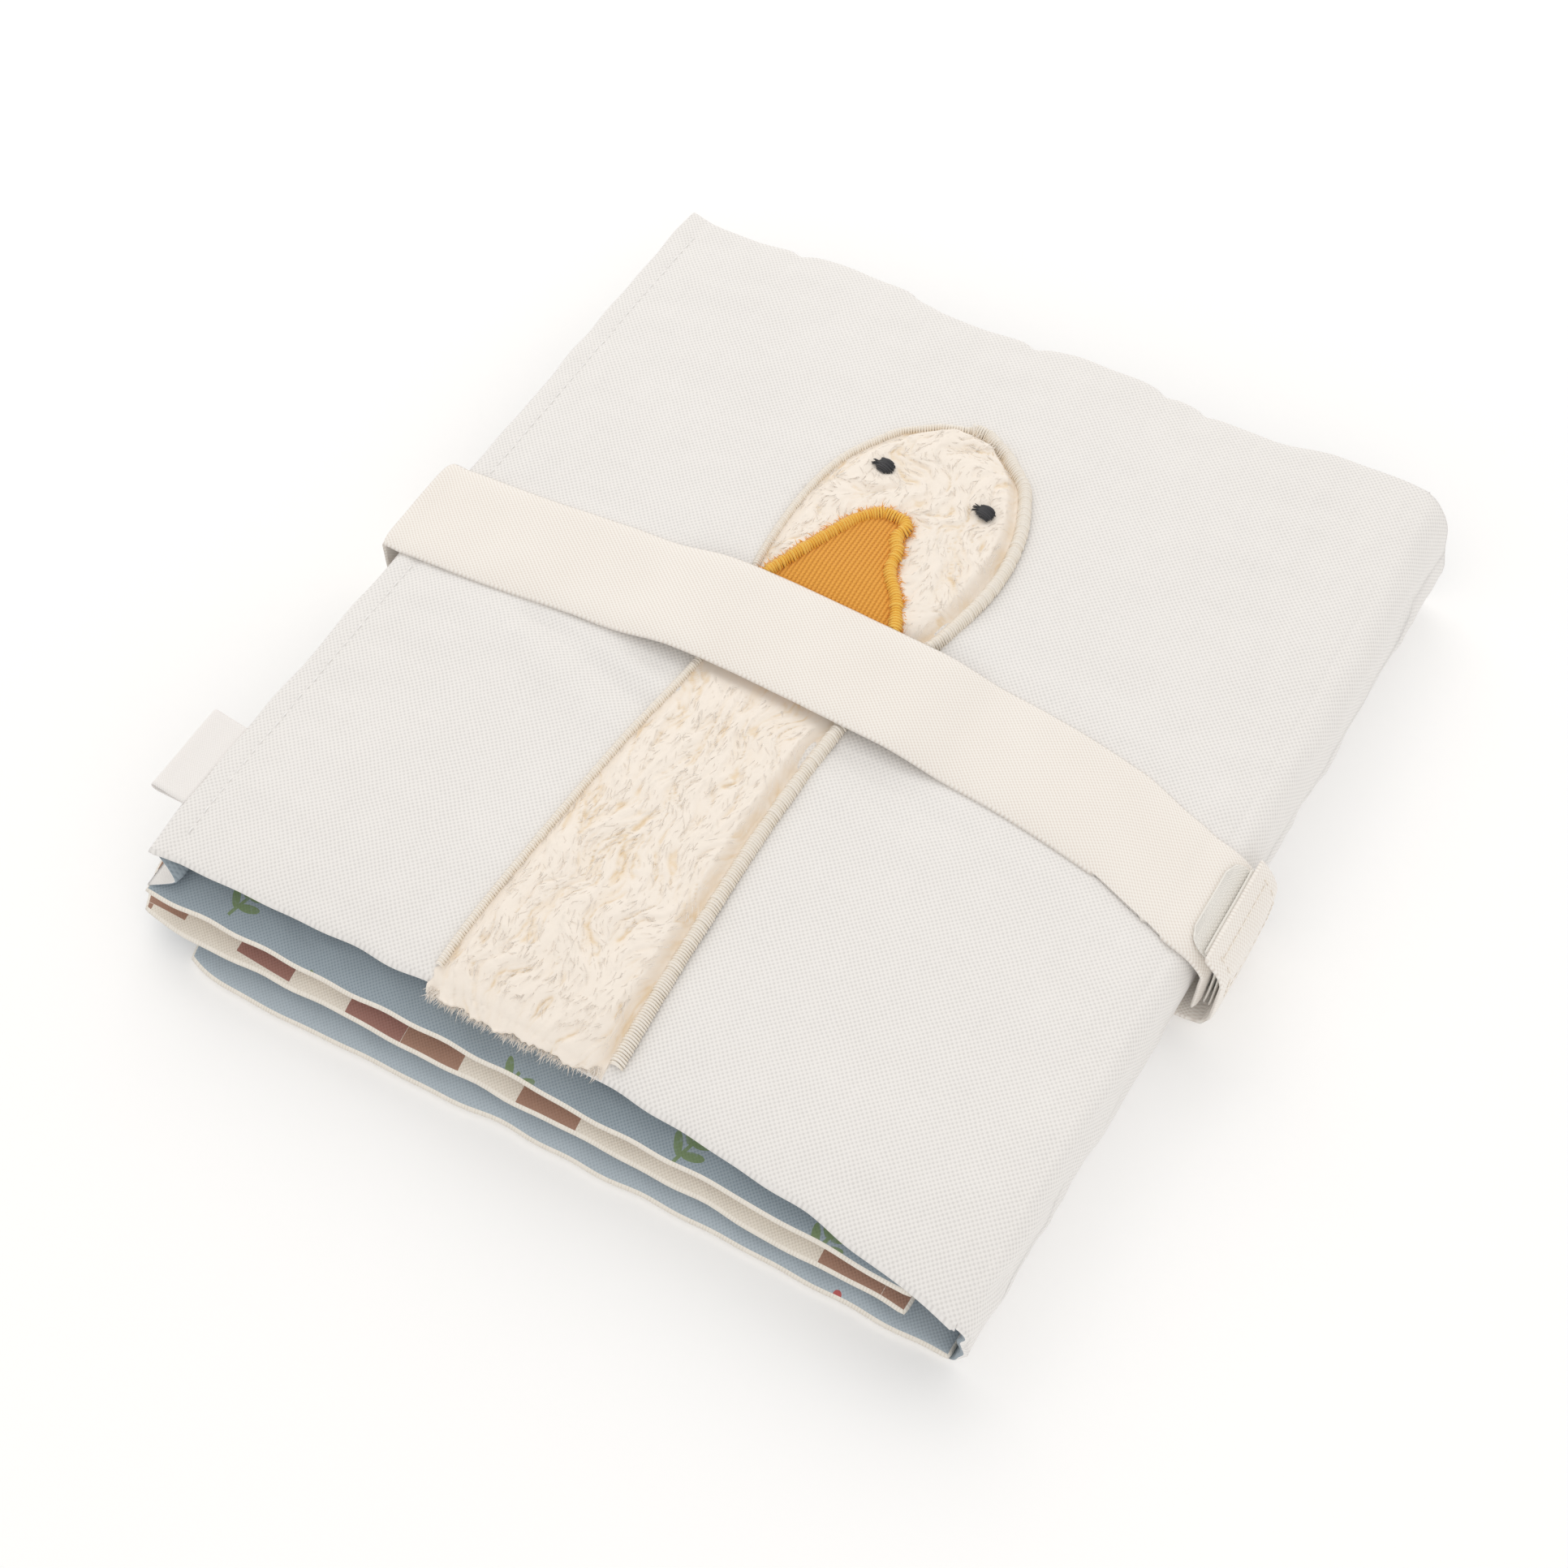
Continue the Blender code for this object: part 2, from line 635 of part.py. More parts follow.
def make_goose_edging(shop, rows):
    """The cord of satin stitches up one side of the goose, over its head and down the other."""
    edges = [goose_edges(share) for share in rows]
    route = [(left, y) for y, left, _ in edges] + [(right, y) for y, _, right in reversed(edges)]
    route = outward(route, EDGING_RADIUS + GAP)
    points = [(x, y, FRONT.top(x, y) + 2 * GAP + EDGING_RADIUS) for x, y in route]
    shop.tube("goose_edging", "cream_thread", points, EDGING_RADIUS)


def make_beak(shop):
    """The knitted beak on the plush, with its satin border."""
    rows = station_rows(BEAK_OUTLINE_SHARES)
    foot = GOOSE_FOOT_Y + BEAK_FOOT_SHARE * GOOSE_HEIGHT
    centre = GOOSE_CENTRE_X - BEAK_OFFSET
    edges = []
    for share in rows:
        left, right = between(BEAK_OUTLINE_SHARES, share)
        edges.append((foot + share * BEAK_HEIGHT, centre + left * BEAK_WIDTH, centre + right * BEAK_WIDTH))

    def place(column, row, face):
        y, left, right = edges[row]
        x = left + (right - left) * column / GOOSE_STEPS
        return x, y, plush_top(x, y) + GAP + face * BEAK_KNIT

    shop.cloth("beak", "orange_knit", GOOSE_STEPS, len(rows) - 1, place)
    route = [(left, y) for y, left, _ in edges] + [(right, y) for y, _, right in reversed(edges)]
    route = outward(route, BEAK_SATIN_RADIUS + GAP)
    points = [(x, y, plush_top(x, y) + GAP + BEAK_SATIN_RADIUS) for x, y in route]
    shop.tube("beak_edging", "orange_thread", points, BEAK_SATIN_RADIUS, closed=True)


def make_eyes(shop):
    """Two small embroidered eyes, flattened beads of thread on the plush."""
    y = GOOSE_FOOT_Y + EYE_HEIGHT_SHARE * GOOSE_HEIGHT
    for side, name in ((-1, "left_eye"), (1, "right_eye")):
        shape = bmesh.new()
        bmesh.ops.create_uvsphere(shape, u_segments=EYE_SIDES, v_segments=EYE_SIDES // 2, radius=0.5)
        bmesh.ops.scale(shape, vec=(EYE_LENGTH, EYE_WIDTH, EYE_THICKNESS), verts=shape.verts)
        x = GOOSE_CENTRE_X + EYE_OFFSET + side * EYE_SPREAD / 2
        height = plush_top(x, y) + GAP + EYE_THICKNESS / 2
        bmesh.ops.translate(shape, vec=(x, y, height), verts=shape.verts)
        mesh = bpy.data.meshes.new(name)
        shape.to_mesh(mesh)
        shape.free()
        shop.keep(mesh, name, "dark_thread")


def strap_middle(x):
    """Where the strap's middle line runs: bowed over the cover, straight at its ends."""
    share = max(STRAP_BOW_SHARES[0][0], min(STRAP_BOW_SHARES[-1][0], (x - FRONT.left) / COVER_WIDTH))
    return STRAP_CENTRE_Y + STRAP_BOW * between(STRAP_BOW_SHARES, share)[0]


def strap_lift(x):
    """How far the goose under the strap lifts it."""
    reach = GOOSE_WIDTH / 2 + 2 * EDGING_RADIUS
    beyond = abs(x - GOOSE_CENTRE_X) - reach
    share = max(0, min(1, 1 - beyond / STRAP_RISE))
    return STRAP_LIFT * share * share * (3 - 2 * share)


def side_route():
    """The strap's route from the shoulder of the spine down to its end."""
    top = FRONT.top(FRONT.right, STRAP_CENTRE_Y) + GAP + STRAP_THICKNESS
    low = STRAP_END_HEIGHT
    return [
        (SPINE_X - STRAP_RUN_IN, top),
        (SPINE_X + SPINE_BULGE / 2, top),
        (STRAP_RIGHT_X, top - 2 * SHOULDER_DROP),
        (STRAP_RIGHT_X, (top + low) / 2),
        (STRAP_RIGHT_X, low),
    ]


def make_strap(shop):
    """The band under the book, its upright side at the free edges and its run over the cover."""
    def band(name, route):
        shop.band(name, "strap_twill", route, STRAP_WIDTH, STRAP_THICKNESS, strap_middle)

    under_left = STRAP_LEFT_X + STRAP_THICKNESS
    step = (BACK.right - under_left) / FOLD_STEPS
    under = [(under_left + step * i, STRAP_BACK_Z) for i in range(FOLD_STEPS + 1)]
    width, thickness = STRAP_WIDTH, STRAP_THICKNESS
    shop.band("strap_back", "strap_twill", under, width, thickness, lambda x: STRAP_CENTRE_Y)
    band("strap_side", [(STRAP_LEFT_X, STRAP_FOOT_Z), (STRAP_LEFT_X, STRAP_SIDE_TOP_Z - GAP)])
    run = [(STRAP_LEFT_X, STRAP_SIDE_TOP_Z)]
    run.append((STRAP_LEFT_X, STRAP_SIDE_TOP_Z + STRAP_THICKNESS))
    side = side_route()
    for u in spaced(RUN_STEPS)[1:-1]:
        x = leaf_point(FRONT, u, 0)[0]
        height = FRONT.top(x, strap_middle(x)) + GAP + STRAP_THICKNESS / 2
        if x < side[0][0]:
            run.append((x, height + strap_lift(x)))
    run += side
    band("strap_front", rounded(run, 1))


def make_fastening(shop):
    """The closing tab, from under the book up outside the strap's end, and the fastening patches."""
    route = rounded(side_route())
    patch_width = STRAP_WIDTH - 2 * PATCH_MARGIN

    def patch(name, start, offset):
        piece = route[round(start * len(route)):]
        shop.band(name, name[:4] + "_tape", piece, patch_width, PATCH_THICKNESS, strap_middle, offset)

    patch("hook_patch", PATCH_TOP_SHARE, HOOK_OFFSET)
    patch("loop_patch", TAB_TOP_SHARE, LOOP_OFFSET)
    foot_z = STRAP_BACK_Z + TAB_OFFSET
    tab = rounded(side_route() + [(STRAP_RIGHT_X, foot_z), (BACK.right + GAP, foot_z)])
    tab = tab[round(TAB_TOP_SHARE * len(route)):]
    shop.band("closing_tab", "strap_twill", tab, STRAP_WIDTH, STRAP_THICKNESS, strap_middle, TAB_OFFSET)


def make_label(shop):
    """A folded tape sewn into the free edge of the front leaf."""
    height = FRONT.base + FRONT.seam
    foot = FRONT.left - GAP - LABEL_CLOTH / 2
    tip = FRONT.left - GAP - LABEL_REACH + LABEL_CLOTH / 2
    middle = (foot + tip) / 2
    route = [
        (foot, height - LABEL_PINCH / 2),
        (middle, height - LABEL_OPENING / 2),
        (tip, height - LABEL_CLOTH),
        (tip, height + LABEL_CLOTH),
        (middle, height + LABEL_OPENING / 2),
        (foot, height + LABEL_PINCH / 2),
    ]
    shop.band("label", "label_tape", rounded(route, 1), LABEL_WIDTH, LABEL_CLOTH, lambda x: LABEL_CENTRE_Y)


def set_on_axes(shop):
    """Parents the moving pieces to empties that stand on their joints' axes."""
    for name, (x, z, carried) in AXES.items():
        axis = bpy.data.objects.new(name, None)
        axis.location = (x - ORIGIN_X, 0.0, z)
        shop.collection.objects.link(axis)
        for piece in carried:
            shop.collection.objects[piece].parent = axis
            shop.collection.objects[piece].location -= axis.location


def main():
    clear_scene()
    shop = Workshop("activity_book")
    canvas, lining, page = ("outer_cover", "canvas"), ("lining", "blue_lining"), ("page", "page_cloth")
    make_leaf(shop, "back", BACK, canvas, lining)
    make_leaf(shop, "leaf_c", LEAF_C, lining, page)
    make_leaf(shop, "leaf_b", LEAF_B, page, lining)
    make_leaf(shop, "front", FRONT, lining, canvas)
    make_spine(shop)
    make_gusset(shop)
    make_inner_fold(shop)
    make_goose(shop)
    make_strap(shop)
    make_fastening(shop)
    make_label(shop)
    set_on_axes(shop)


main()
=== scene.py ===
"""The looks of a soft activity book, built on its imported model.

Four padded cloth leaves are folded into a stack and held by a strap. A plush goose with a knitted
beak is sewn to the cover. Sizes repeat the named sizes of the part's source, in metres.
"""

import json
import logging
import math
from dataclasses import dataclass
from enum import Enum
from typing import Optional, Sequence, Union

import bpy
import numpy as np
from mathutils import Matrix, Vector

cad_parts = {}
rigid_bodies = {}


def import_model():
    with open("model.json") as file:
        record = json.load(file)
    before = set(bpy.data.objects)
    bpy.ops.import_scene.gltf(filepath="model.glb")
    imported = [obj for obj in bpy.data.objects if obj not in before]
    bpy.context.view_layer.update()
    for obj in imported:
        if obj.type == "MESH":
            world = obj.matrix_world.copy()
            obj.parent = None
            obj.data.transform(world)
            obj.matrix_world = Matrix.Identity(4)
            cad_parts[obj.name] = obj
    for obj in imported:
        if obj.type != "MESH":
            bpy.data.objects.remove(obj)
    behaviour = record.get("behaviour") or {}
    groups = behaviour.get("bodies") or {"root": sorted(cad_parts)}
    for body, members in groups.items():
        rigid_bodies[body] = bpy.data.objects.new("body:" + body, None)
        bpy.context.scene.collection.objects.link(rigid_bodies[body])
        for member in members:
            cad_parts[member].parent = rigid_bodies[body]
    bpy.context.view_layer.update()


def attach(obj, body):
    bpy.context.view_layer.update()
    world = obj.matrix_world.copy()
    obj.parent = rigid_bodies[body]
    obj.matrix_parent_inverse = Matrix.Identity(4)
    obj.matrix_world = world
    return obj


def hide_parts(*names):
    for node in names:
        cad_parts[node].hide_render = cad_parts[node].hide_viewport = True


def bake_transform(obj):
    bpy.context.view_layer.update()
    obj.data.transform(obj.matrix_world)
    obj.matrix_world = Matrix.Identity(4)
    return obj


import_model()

LOG = logging.getLogger("activity_book")
MM = 0.001
GAP = 0.3 * MM
SEAM_HALF = 0.85 * MM
Grid = np.ndarray
Number = Union[float, "Wire"]
Wisps = tuple[Grid, Grid, Grid, Grid]


# ---------------------------------------------------------------- small tools for shapes


def ease(share: Grid) -> Grid:
    """A share from 0 to 1 that starts and ends gently."""
    share = np.clip(share, 0, 1)
    return share * share * (3 - 2 * share)


def edge_share(share: Grid) -> Grid:
    """None in a leaf's middle, then growing to 1 at the edge that share runs to."""
    return np.clip((share - 0.5) / 0.5, 0, None)


def bell(distance: Grid, width: float) -> Grid:
    """A bump of height 1 over a distance of none."""
    return np.exp(-((distance / width) ** 2))


def between(stations: Sequence[Sequence[float]], share: float) -> list[float]:
    """A smooth value read between stations.

    Args:
        stations: rows of a share followed by its values.
        share: the place to read.

    Returns:
        The values at that share.
    """
    last = len(stations) - 2
    i = max(k for k in range(last + 1) if stations[k][0] <= share or k == 0)
    before, start = stations[max(0, i - 1)], stations[i]
    end, after = stations[i + 1], stations[min(last + 1, i + 2)]
    t = (share - start[0]) / (end[0] - start[0])
    return [
        0.5 * (2 * b + (c - a) * t + (2 * a - 5 * b + 4 * c - d) * t * t + (3 * b - a - 3 * c + d) * t ** 3)
        for a, b, c, d in zip(before[1:], start[1:], end[1:], after[1:])
    ]


def rounded(route: list, steps: int) -> list:
    """Cuts the corners of a route a few times, keeping its two ends.

    Args:
        route: points across the book, each an x and a height.
        steps: how often the corners are cut.

    Returns:
        The smoother route.
    """
    for _ in range(steps):
        cut = [route[0]]
        for (x0, z0), (x1, z1) in zip(route, route[1:]):
            across, up = (x1 - x0) / 4, (z1 - z0) / 4
            cut += [(x0 + across, z0 + up), (x1 - across, z1 - up)]
        route = cut[:1] + cut[2:-2] + [route[-1]]
    return route


def run_along(route: Grid) -> Grid:
    """The length run from a route's start to each of its points."""
    return np.concatenate([[0], np.cumsum(np.linalg.norm(np.diff(route, axis=0), axis=1))])


def points_of(*axes: Union[float, Grid]) -> Grid:
    """Points, directions or sizes put together from their axes."""
    return np.stack(np.broadcast_arrays(*axes), -1)


def resampled(route: Grid, step: float, closed: bool = False) -> Grid:
    """The same route with points at even steps.

    Args:
        route: its points, one row each.
        step: the distance between the new points.
        closed: whether the last point joins the first.

    Returns:
        The new points.
    """
    route = np.asarray(route, float)
    if closed:
        route = np.vstack([route, route[:1]])
    run = run_along(route)
    count = max(2, round(run[-1] / step))
    places = np.linspace(0, run[-1], count + 1)[: count if closed else count + 1]
    return np.stack([np.interp(places, run, route[:, i]) for i in range(route.shape[1])], axis=1)


def crowded(length: float, fine: float, coarse: float, margin: float) -> Grid:
    """Places from -1 to 1, close together near both ends.

    Args:
        length: the real length from -1 to 1.
        fine: the step near the ends.
        coarse: the step in the middle.
        margin: how far the fine steps reach in.

    Returns:
        The places.
    """
    half = length / 2
    inner = np.linspace(-(half - margin), half - margin, max(2, round((length - 2 * margin) / coarse)) + 1)
    ends = np.linspace(0, margin, round(margin / fine) + 1)
    return np.concatenate([-half + ends[:-1], inner, half - ends[::-1][1:]]) / half


class Ripple:
    """A gentle unevenness, the same on each run."""

    def __init__(self, wavelength: float, seed: int, waves: int = 9) -> None:
        """Draws the waves once from the seed."""
        rng = np.random.default_rng(seed)
        angle = rng.uniform(0, 2 * math.pi, waves)
        number = 2 * math.pi / wavelength * rng.uniform(0.65, 1.5, waves)
        self.across, self.along = number * np.cos(angle), number * np.sin(angle)
        self.phase = rng.uniform(0, 2 * math.pi, waves)

    def __call__(self, x: Grid, y: Grid) -> Grid:
        """The height at x and y, about -1 to 1."""
        x, y = np.asarray(x, float)[..., None], np.asarray(y, float)[..., None]
        waves = np.sin(x * self.across + y * self.along + self.phase)
        return waves.sum(-1) / math.sqrt(len(self.phase))


def linked(name: str, data: bpy.types.ID) -> bpy.types.Object:
    """A new object in the scene."""
    piece = bpy.data.objects.new(name, data)
    bpy.context.scene.collection.objects.link(piece)
    return piece


def mesh_piece(name: str, points: Grid, faces: list, materials: list, sides: Optional[Grid] = None,
               uv: Optional[Grid] = None) -> bpy.types.Object:
    """Links a mesh as a piece in the book's frame.

    Args:
        name: the piece's name.
        points: its points in the source's own place, one row each.
        faces: corner indexes of each face.
        materials: its materials.
        sides: which material each face takes.
        uv: the cloth's own measure at each point, in millimetres.

    Returns:
        The piece.
    """
    mesh = bpy.data.meshes.new(name)
    mesh.from_pydata((np.asarray(points) - ORIGIN).tolist(), [], faces)
    for material in materials:
        mesh.materials.append(material)
    if sides is not None:
        mesh.polygons.foreach_set("material_index", np.asarray(sides, dtype=np.int32))
    if uv is not None:
        corners = np.empty(len(mesh.loops), dtype=np.int32)
        mesh.loops.foreach_get("vertex_index", corners)
        layer = mesh.uv_layers.new(name="cloth")
        layer.data.foreach_set("uv", np.asarray(uv, float)[corners].ravel())
    mesh.shade_smooth()
    mesh.update()
    return linked(name, mesh)


def shell(name: str, outer: Grid, inner: Grid, materials: list, uv: Grid, bead: float = 0.0,
          side: str = "") -> bpy.types.Object:
    """A closed piece between two faces of cloth, joined round a beaded rim.

    Args:
        name: the piece's name.
        outer: rows by columns of points; the way along a row crossed with the way up a column points out.
        inner: the same for the other face.
        materials: the outer face's material, then the inner face's, then the rim's if it has its own.
        uv: rows by columns of the cloth's own measure.
        bead: how far the rim stands proud.
        side: "row" or "column" where the last one runs on smoothly into another piece, with no bead.

    Returns:
        The piece.
    """
    rows, columns = outer.shape[:2]
    index = np.arange(rows * columns).reshape(rows, columns)
    rim = np.concatenate([index[0], index[1:, -1], index[-1, -2::-1], index[-2:0:-1, 0]])
    flat_outer, flat_inner = outer.reshape(-1, 3), inner.reshape(-1, 3)
    ring = (flat_outer[rim] + flat_inner[rim]) / 2
    centre = (outer[rows // 2, columns // 2] + inner[rows // 2, columns // 2]) / 2
    if bead:
        before, after = np.roll(ring, 1, axis=0), np.roll(ring, -1, axis=0)
        up = flat_outer[rim] - flat_inner[rim]
        out = np.cross(after - before, up)
        out /= np.linalg.norm(out, axis=1)[:, None] + 1e-12
        out *= np.where(((ring - centre) * out).sum(1) < 0, -1, 1)[:, None]
        beads = np.full((rows, columns), bead)
        if side:
            beads[(-1, slice(None)) if side == "row" else (slice(None), -1)] = 0.0
        ring = ring + out * beads.ravel()[rim][:, None]
    cells = np.stack([index[:-1, :-1], index[:-1, 1:], index[1:, 1:], index[1:, :-1]], -1).reshape(-1, 4)
    total = rows * columns
    upper, lower = rim, rim + total
    middle = np.arange(len(rim)) + 2 * total
    turn = lambda line: np.roll(line, -1)
    faces = np.concatenate([
        cells,
        np.stack([middle, turn(middle), turn(upper), upper], -1),
        np.stack([lower, turn(lower), turn(middle), middle], -1),
        cells[:, ::-1] + total,
    ])
    count = len(cells)
    sides = np.concatenate([np.zeros(count + len(rim)), np.ones(len(rim) + count)])
    if len(materials) == 3:
        sides[count: count + 2 * len(rim)] = 2
    flat_uv = uv.reshape(-1, 2)
    piece = mesh_piece(name, np.vstack([flat_outer, flat_inner, ring]), faces.tolist(), materials,
                       sides, np.vstack([flat_uv, flat_uv, flat_uv[rim]]))
    if side:
        joined = np.zeros(len(piece.data.vertices), dtype=bool)
        joined[index[-1] if side == "row" else index[:, -1]] = True
        ends = np.empty(len(piece.data.edges) * 2, dtype=np.int32)
        piece.data.edges.foreach_get("vertices", ends)
        crisp = joined[ends.reshape(-1, 2)].all(axis=1)
        piece.data.attributes.new("sharp_edge", "BOOLEAN", "EDGE").data.foreach_set("value", crisp)
    return piece


# ---------------------------------------------------------------- the book's own shape


@dataclass(frozen=True)
class LeafShape:
    """The form of one padded leaf, as in the part's source."""

    left: float
    right: float
    near: float
    far: float
    base: float
    thickness: float
    seam: float
    near_slant: float = 0.0
    near_draw_in: float = 1.2 * MM
    near_droop: float = 0.0
    left_droop: float = 0.0
    corner_droop: float = 0.0
    wave: float = 0.0
    channel: float = 0.0
    free_corner: float = 0.0
    lobe: float = 0.0

    def plan(self, u: Grid, v: Grid) -> tuple[Grid, Grid]:
        """The place of the leaf at shares u and v, from -1 to 1."""
        u, v = np.asarray(u, float), np.asarray(v, float)
        x = (self.left + self.right) / 2 + u * (self.right - self.left) / 2
        y = (self.near + self.far) / 2 + v * (self.far - self.near) / 2
        near, far = edge_share(-v), edge_share(v)
        slant = u * (near * self.near_slant + far * FAR_SLANT)
        draw_in = (1 - u * u) * near * near * self.near_draw_in
        ripple = self.wave * far * far * np.sin(3 * math.pi * u)
        rounding = self.free_corner * (edge_share(-u) * np.maximum(near, far)) ** 4
        pushed = self.lobe * edge_share(-u) ** 2 * bell(v + 0.90, 0.09)
        return x + rounding - pushed, y + slant + draw_in + ripple - np.copysign(rounding, v)

    def shares(self, x: Grid, y: Grid) -> tuple[Grid, Grid]:
        """The shares u and v of a place."""
        x, y = np.broadcast_arrays(np.asarray(x, float), np.asarray(y, float))
        u = np.clip((2 * x - self.left - self.right) / (self.right - self.left), -1, 1)
        v = np.zeros_like(u)
        for _ in range(8):
            v = np.clip(v + 2 * (y - self.plan(u, v)[1]) / (self.far - self.near), -1, 1)
        return u, v

    def fullness(self, u: Grid, v: Grid) -> Grid:
        """Share of the filling's full height, falling to none at the seam."""
        return ((1 - np.abs(u) ** 5) * (1 - np.abs(v) ** 5)) ** 0.6

    def droop(self, u: Grid, v: Grid) -> Grid:
        """How far gravity and handling lower the edges."""
        near = edge_share(-v) ** 4 * self.near_droop
        left = edge_share(-u) ** 4 * self.left_droop
        return near + left + (edge_share(u) * edge_share(-v)) ** 3 * self.corner_droop

    def faces(self, u: Grid, v: Grid) -> tuple[Grid, Grid]:
        """Heights of the leaf's underside and top at shares u and v."""
        u, v = np.asarray(u, float), np.asarray(v, float)
        full, y = self.fullness(u, v), self.plan(u, v)[1]
        beyond = np.abs(y - STRAP_CENTRE_Y) - CHANNEL_HALF
        lift = self.channel * np.clip(1 - beyond / (4 * MM), 0, 1)
        rise = self.thickness - self.seam - SEAM_HALF
        base = self.base - self.droop(u, v)
        low = base + (self.seam - SEAM_HALF) * (1 - full) + lift
        return low, base + self.seam + SEAM_HALF + rise * full + lift * (1 - full)

    def top(self, x: Grid, y: Grid) -> Grid:
        """The height of the leaf's top at a place."""
        return self.faces(*self.shares(x, y))[1]

    def bottom(self, x: Grid, y: Grid) -> Grid:
        """The height of the leaf's underside at a place."""
        return self.faces(*self.shares(x, y))[0]


FAR_SLANT = 5.5 * MM
COVER_MIDDLE, COVER_DEPTH, STRAP_SHARE = 4.25, 202.5, 0.4652
STRAP_CENTRE_Y = (COVER_MIDDLE + COVER_DEPTH * (STRAP_SHARE - 0.5)) * MM
CHANNEL_HALF = 13.45 * MM
BACK = LeafShape(-0.083, 0.0884, -0.1032, 0.0985, 0.0, 6.3 * MM, SEAM_HALF, near_slant=5.7 * MM,
                 channel=1.9 * MM, free_corner=3.5 * MM)
LEAF_C = LeafShape(-0.094, 0.078, -0.1007, 0.0995, 6.6 * MM, 6.3 * MM, 3.15 * MM, near_slant=4.5 * MM,
                   near_droop=2.6 * MM, left_droop=1.4 * MM, free_corner=2.2 * MM, lobe=2.2 * MM)
LEAF_B = LeafShape(-0.090, 0.078, -0.0986, 0.1015, 13.2 * MM, 6.3 * MM, 3.15 * MM, near_slant=3.6 * MM,
                   near_droop=2.2 * MM)
FRONT = LeafShape(-0.091, 0.0884, -0.0970, 0.1055, 19.8 * MM, 6.9 * MM, 3.45 * MM, near_draw_in=5.5 * MM,
                  near_droop=1.5 * MM, corner_droop=6 * MM, wave=1.4 * MM)
COVER_NEAR_Y = float(FRONT.plan(0, -1)[1])
SPINE_X = FRONT.right + GAP
SPINE_LOW_Z = 2.4 * MM
ROLL_Z = 25.3 * MM
SPINE_BULGE = 5.2 * MM
GOOSE_X = -2.9 * MM
GOOSE_FOOT_Y = FRONT.near + 5.5 * MM + 3.6 * MM
GOOSE_HEIGHT = 161.7 * MM
GOOSE_WIDTH = 44.7 * MM
GOOSE_OUTLINE = (
    (0.000, -0.53, 0.325), (0.166, -0.50, 0.30), (0.350, -0.46, 0.28), (0.515, -0.40, 0.30),
    (0.607, -0.42, 0.36), (0.689, -0.47, 0.46), (0.792, -0.48, 0.52), (0.874, -0.43, 0.49),
    (0.946, -0.29, 0.38), (0.982, -0.13, 0.22), (1.000, 0.02, 0.09),
)
BEAK_OUTLINE = (
    (0.00, -0.26, 0.26), (0.12, -0.44, 0.44), (0.28, -0.54, 0.52), (0.43, -0.56, 0.535),
    (0.60, -0.44, 0.41), (0.72, -0.35, 0.24), (0.83, -0.275, 0.20), (0.90, -0.215, 0.125), (0.97, -0.13, 0.15),
    (1.00, -0.06, 0.11),
)
BEAK_FOOT_Y = GOOSE_FOOT_Y + 0.525 * GOOSE_HEIGHT
BEAK_X = GOOSE_X - 2.2 * MM
BEAK_HEIGHT, BEAK_WIDTH, BEAK_RIB = 46 * MM, 28 * MM, 0.95
EYE_Y = GOOSE_FOOT_Y + 0.8775 * GOOSE_HEIGHT
STRAP_WIDTH, STRAP_THICKNESS = 24.5 * MM, 1.3 * MM
STRAP_LIFT = 2.9 * MM
STRAP_LEFT_X = LEAF_C.left - 0.6 * MM - STRAP_THICKNESS / 2
STRAP_RIGHT_X = SPINE_X + SPINE_BULGE + 1.7 * MM + GAP + STRAP_THICKNESS / 2
STRAP_BACK_Z = GAP + STRAP_THICKNESS / 2
STRAP_SIDE_TOP_Z = FRONT.base + FRONT.seam + SEAM_HALF
HOOK_OFFSET, LOOP_OFFSET, TAB_OFFSET = 1.3 * MM, 2.3 * MM, 3.6 * MM
STRAP_BOW = 8.5 * MM
STRAP_BOW_SHARES = ((-0.03, 0.0), (0.08, 0.10), (0.23, 0.52), (0.40, 0.88), (0.56, 0.97), (0.75, 1.0),
                    (0.89, 0.70), (0.97, 0.20), (1.01, 0.0))
BOW_TABLE = np.array([[s, between(STRAP_BOW_SHARES, s)[0]] for s in np.linspace(-0.03, 1.01, 105)])
LABEL_X, LABEL_REACH, LABEL_WIDTH = FRONT.left - GAP, 7.5 * MM, 20 * MM
LABEL_CENTRE_Y = FRONT.near + 21 * MM
ORIGIN = np.array([
    (FRONT.left - GAP - LABEL_REACH + STRAP_RIGHT_X + TAB_OFFSET + STRAP_THICKNESS / 2) / 2,
    (float(BACK.plan(-1, -1)[1]) + float(FRONT.plan(1, 1)[1])) / 2,
    0.0,
])


def strap_middle(x: Grid) -> Grid:
    """Where the strap's middle line runs: bowed over the cover, straight at its ends."""
    share = (np.asarray(x, float) - FRONT.left) / (FRONT.right - FRONT.left)
    return STRAP_CENTRE_Y + STRAP_BOW * np.interp(share, BOW_TABLE[:, 0], BOW_TABLE[:, 1])


def strap_lift(x: Grid) -> Grid:
    """How far the goose under the strap lifts it."""
    beyond = np.abs(np.asarray(x, float) - GOOSE_X) - GOOSE_WIDTH / 2 - 1.8 * MM
    return STRAP_LIFT * ease(1 - beyond / (15 * MM))


def cover_roll(u: Grid, v: Grid) -> Grid:
    """How far the cover stays up at the spine, where its canvas rolls on round the fold."""
    rise = (ROLL_Z - FRONT.base - FRONT.seam - SEAM_HALF) * (1 - FRONT.fullness(u, v))
    return rise * ease((np.asarray(u, float) - 0.80) / 0.16)


def cover_top(x: Grid, y: Grid) -> Grid:
    """The height of the cover's face with its roll at the spine."""
    u, v = FRONT.shares(x, y)
    return FRONT.faces(u, v)[1] + cover_roll(u, v)


def near_strap(x: Grid, y: Grid) -> Grid:
    """How far a place is outside the strap's edge; below zero under the strap."""
    return np.abs(y - strap_middle(x)) - STRAP_WIDTH / 2


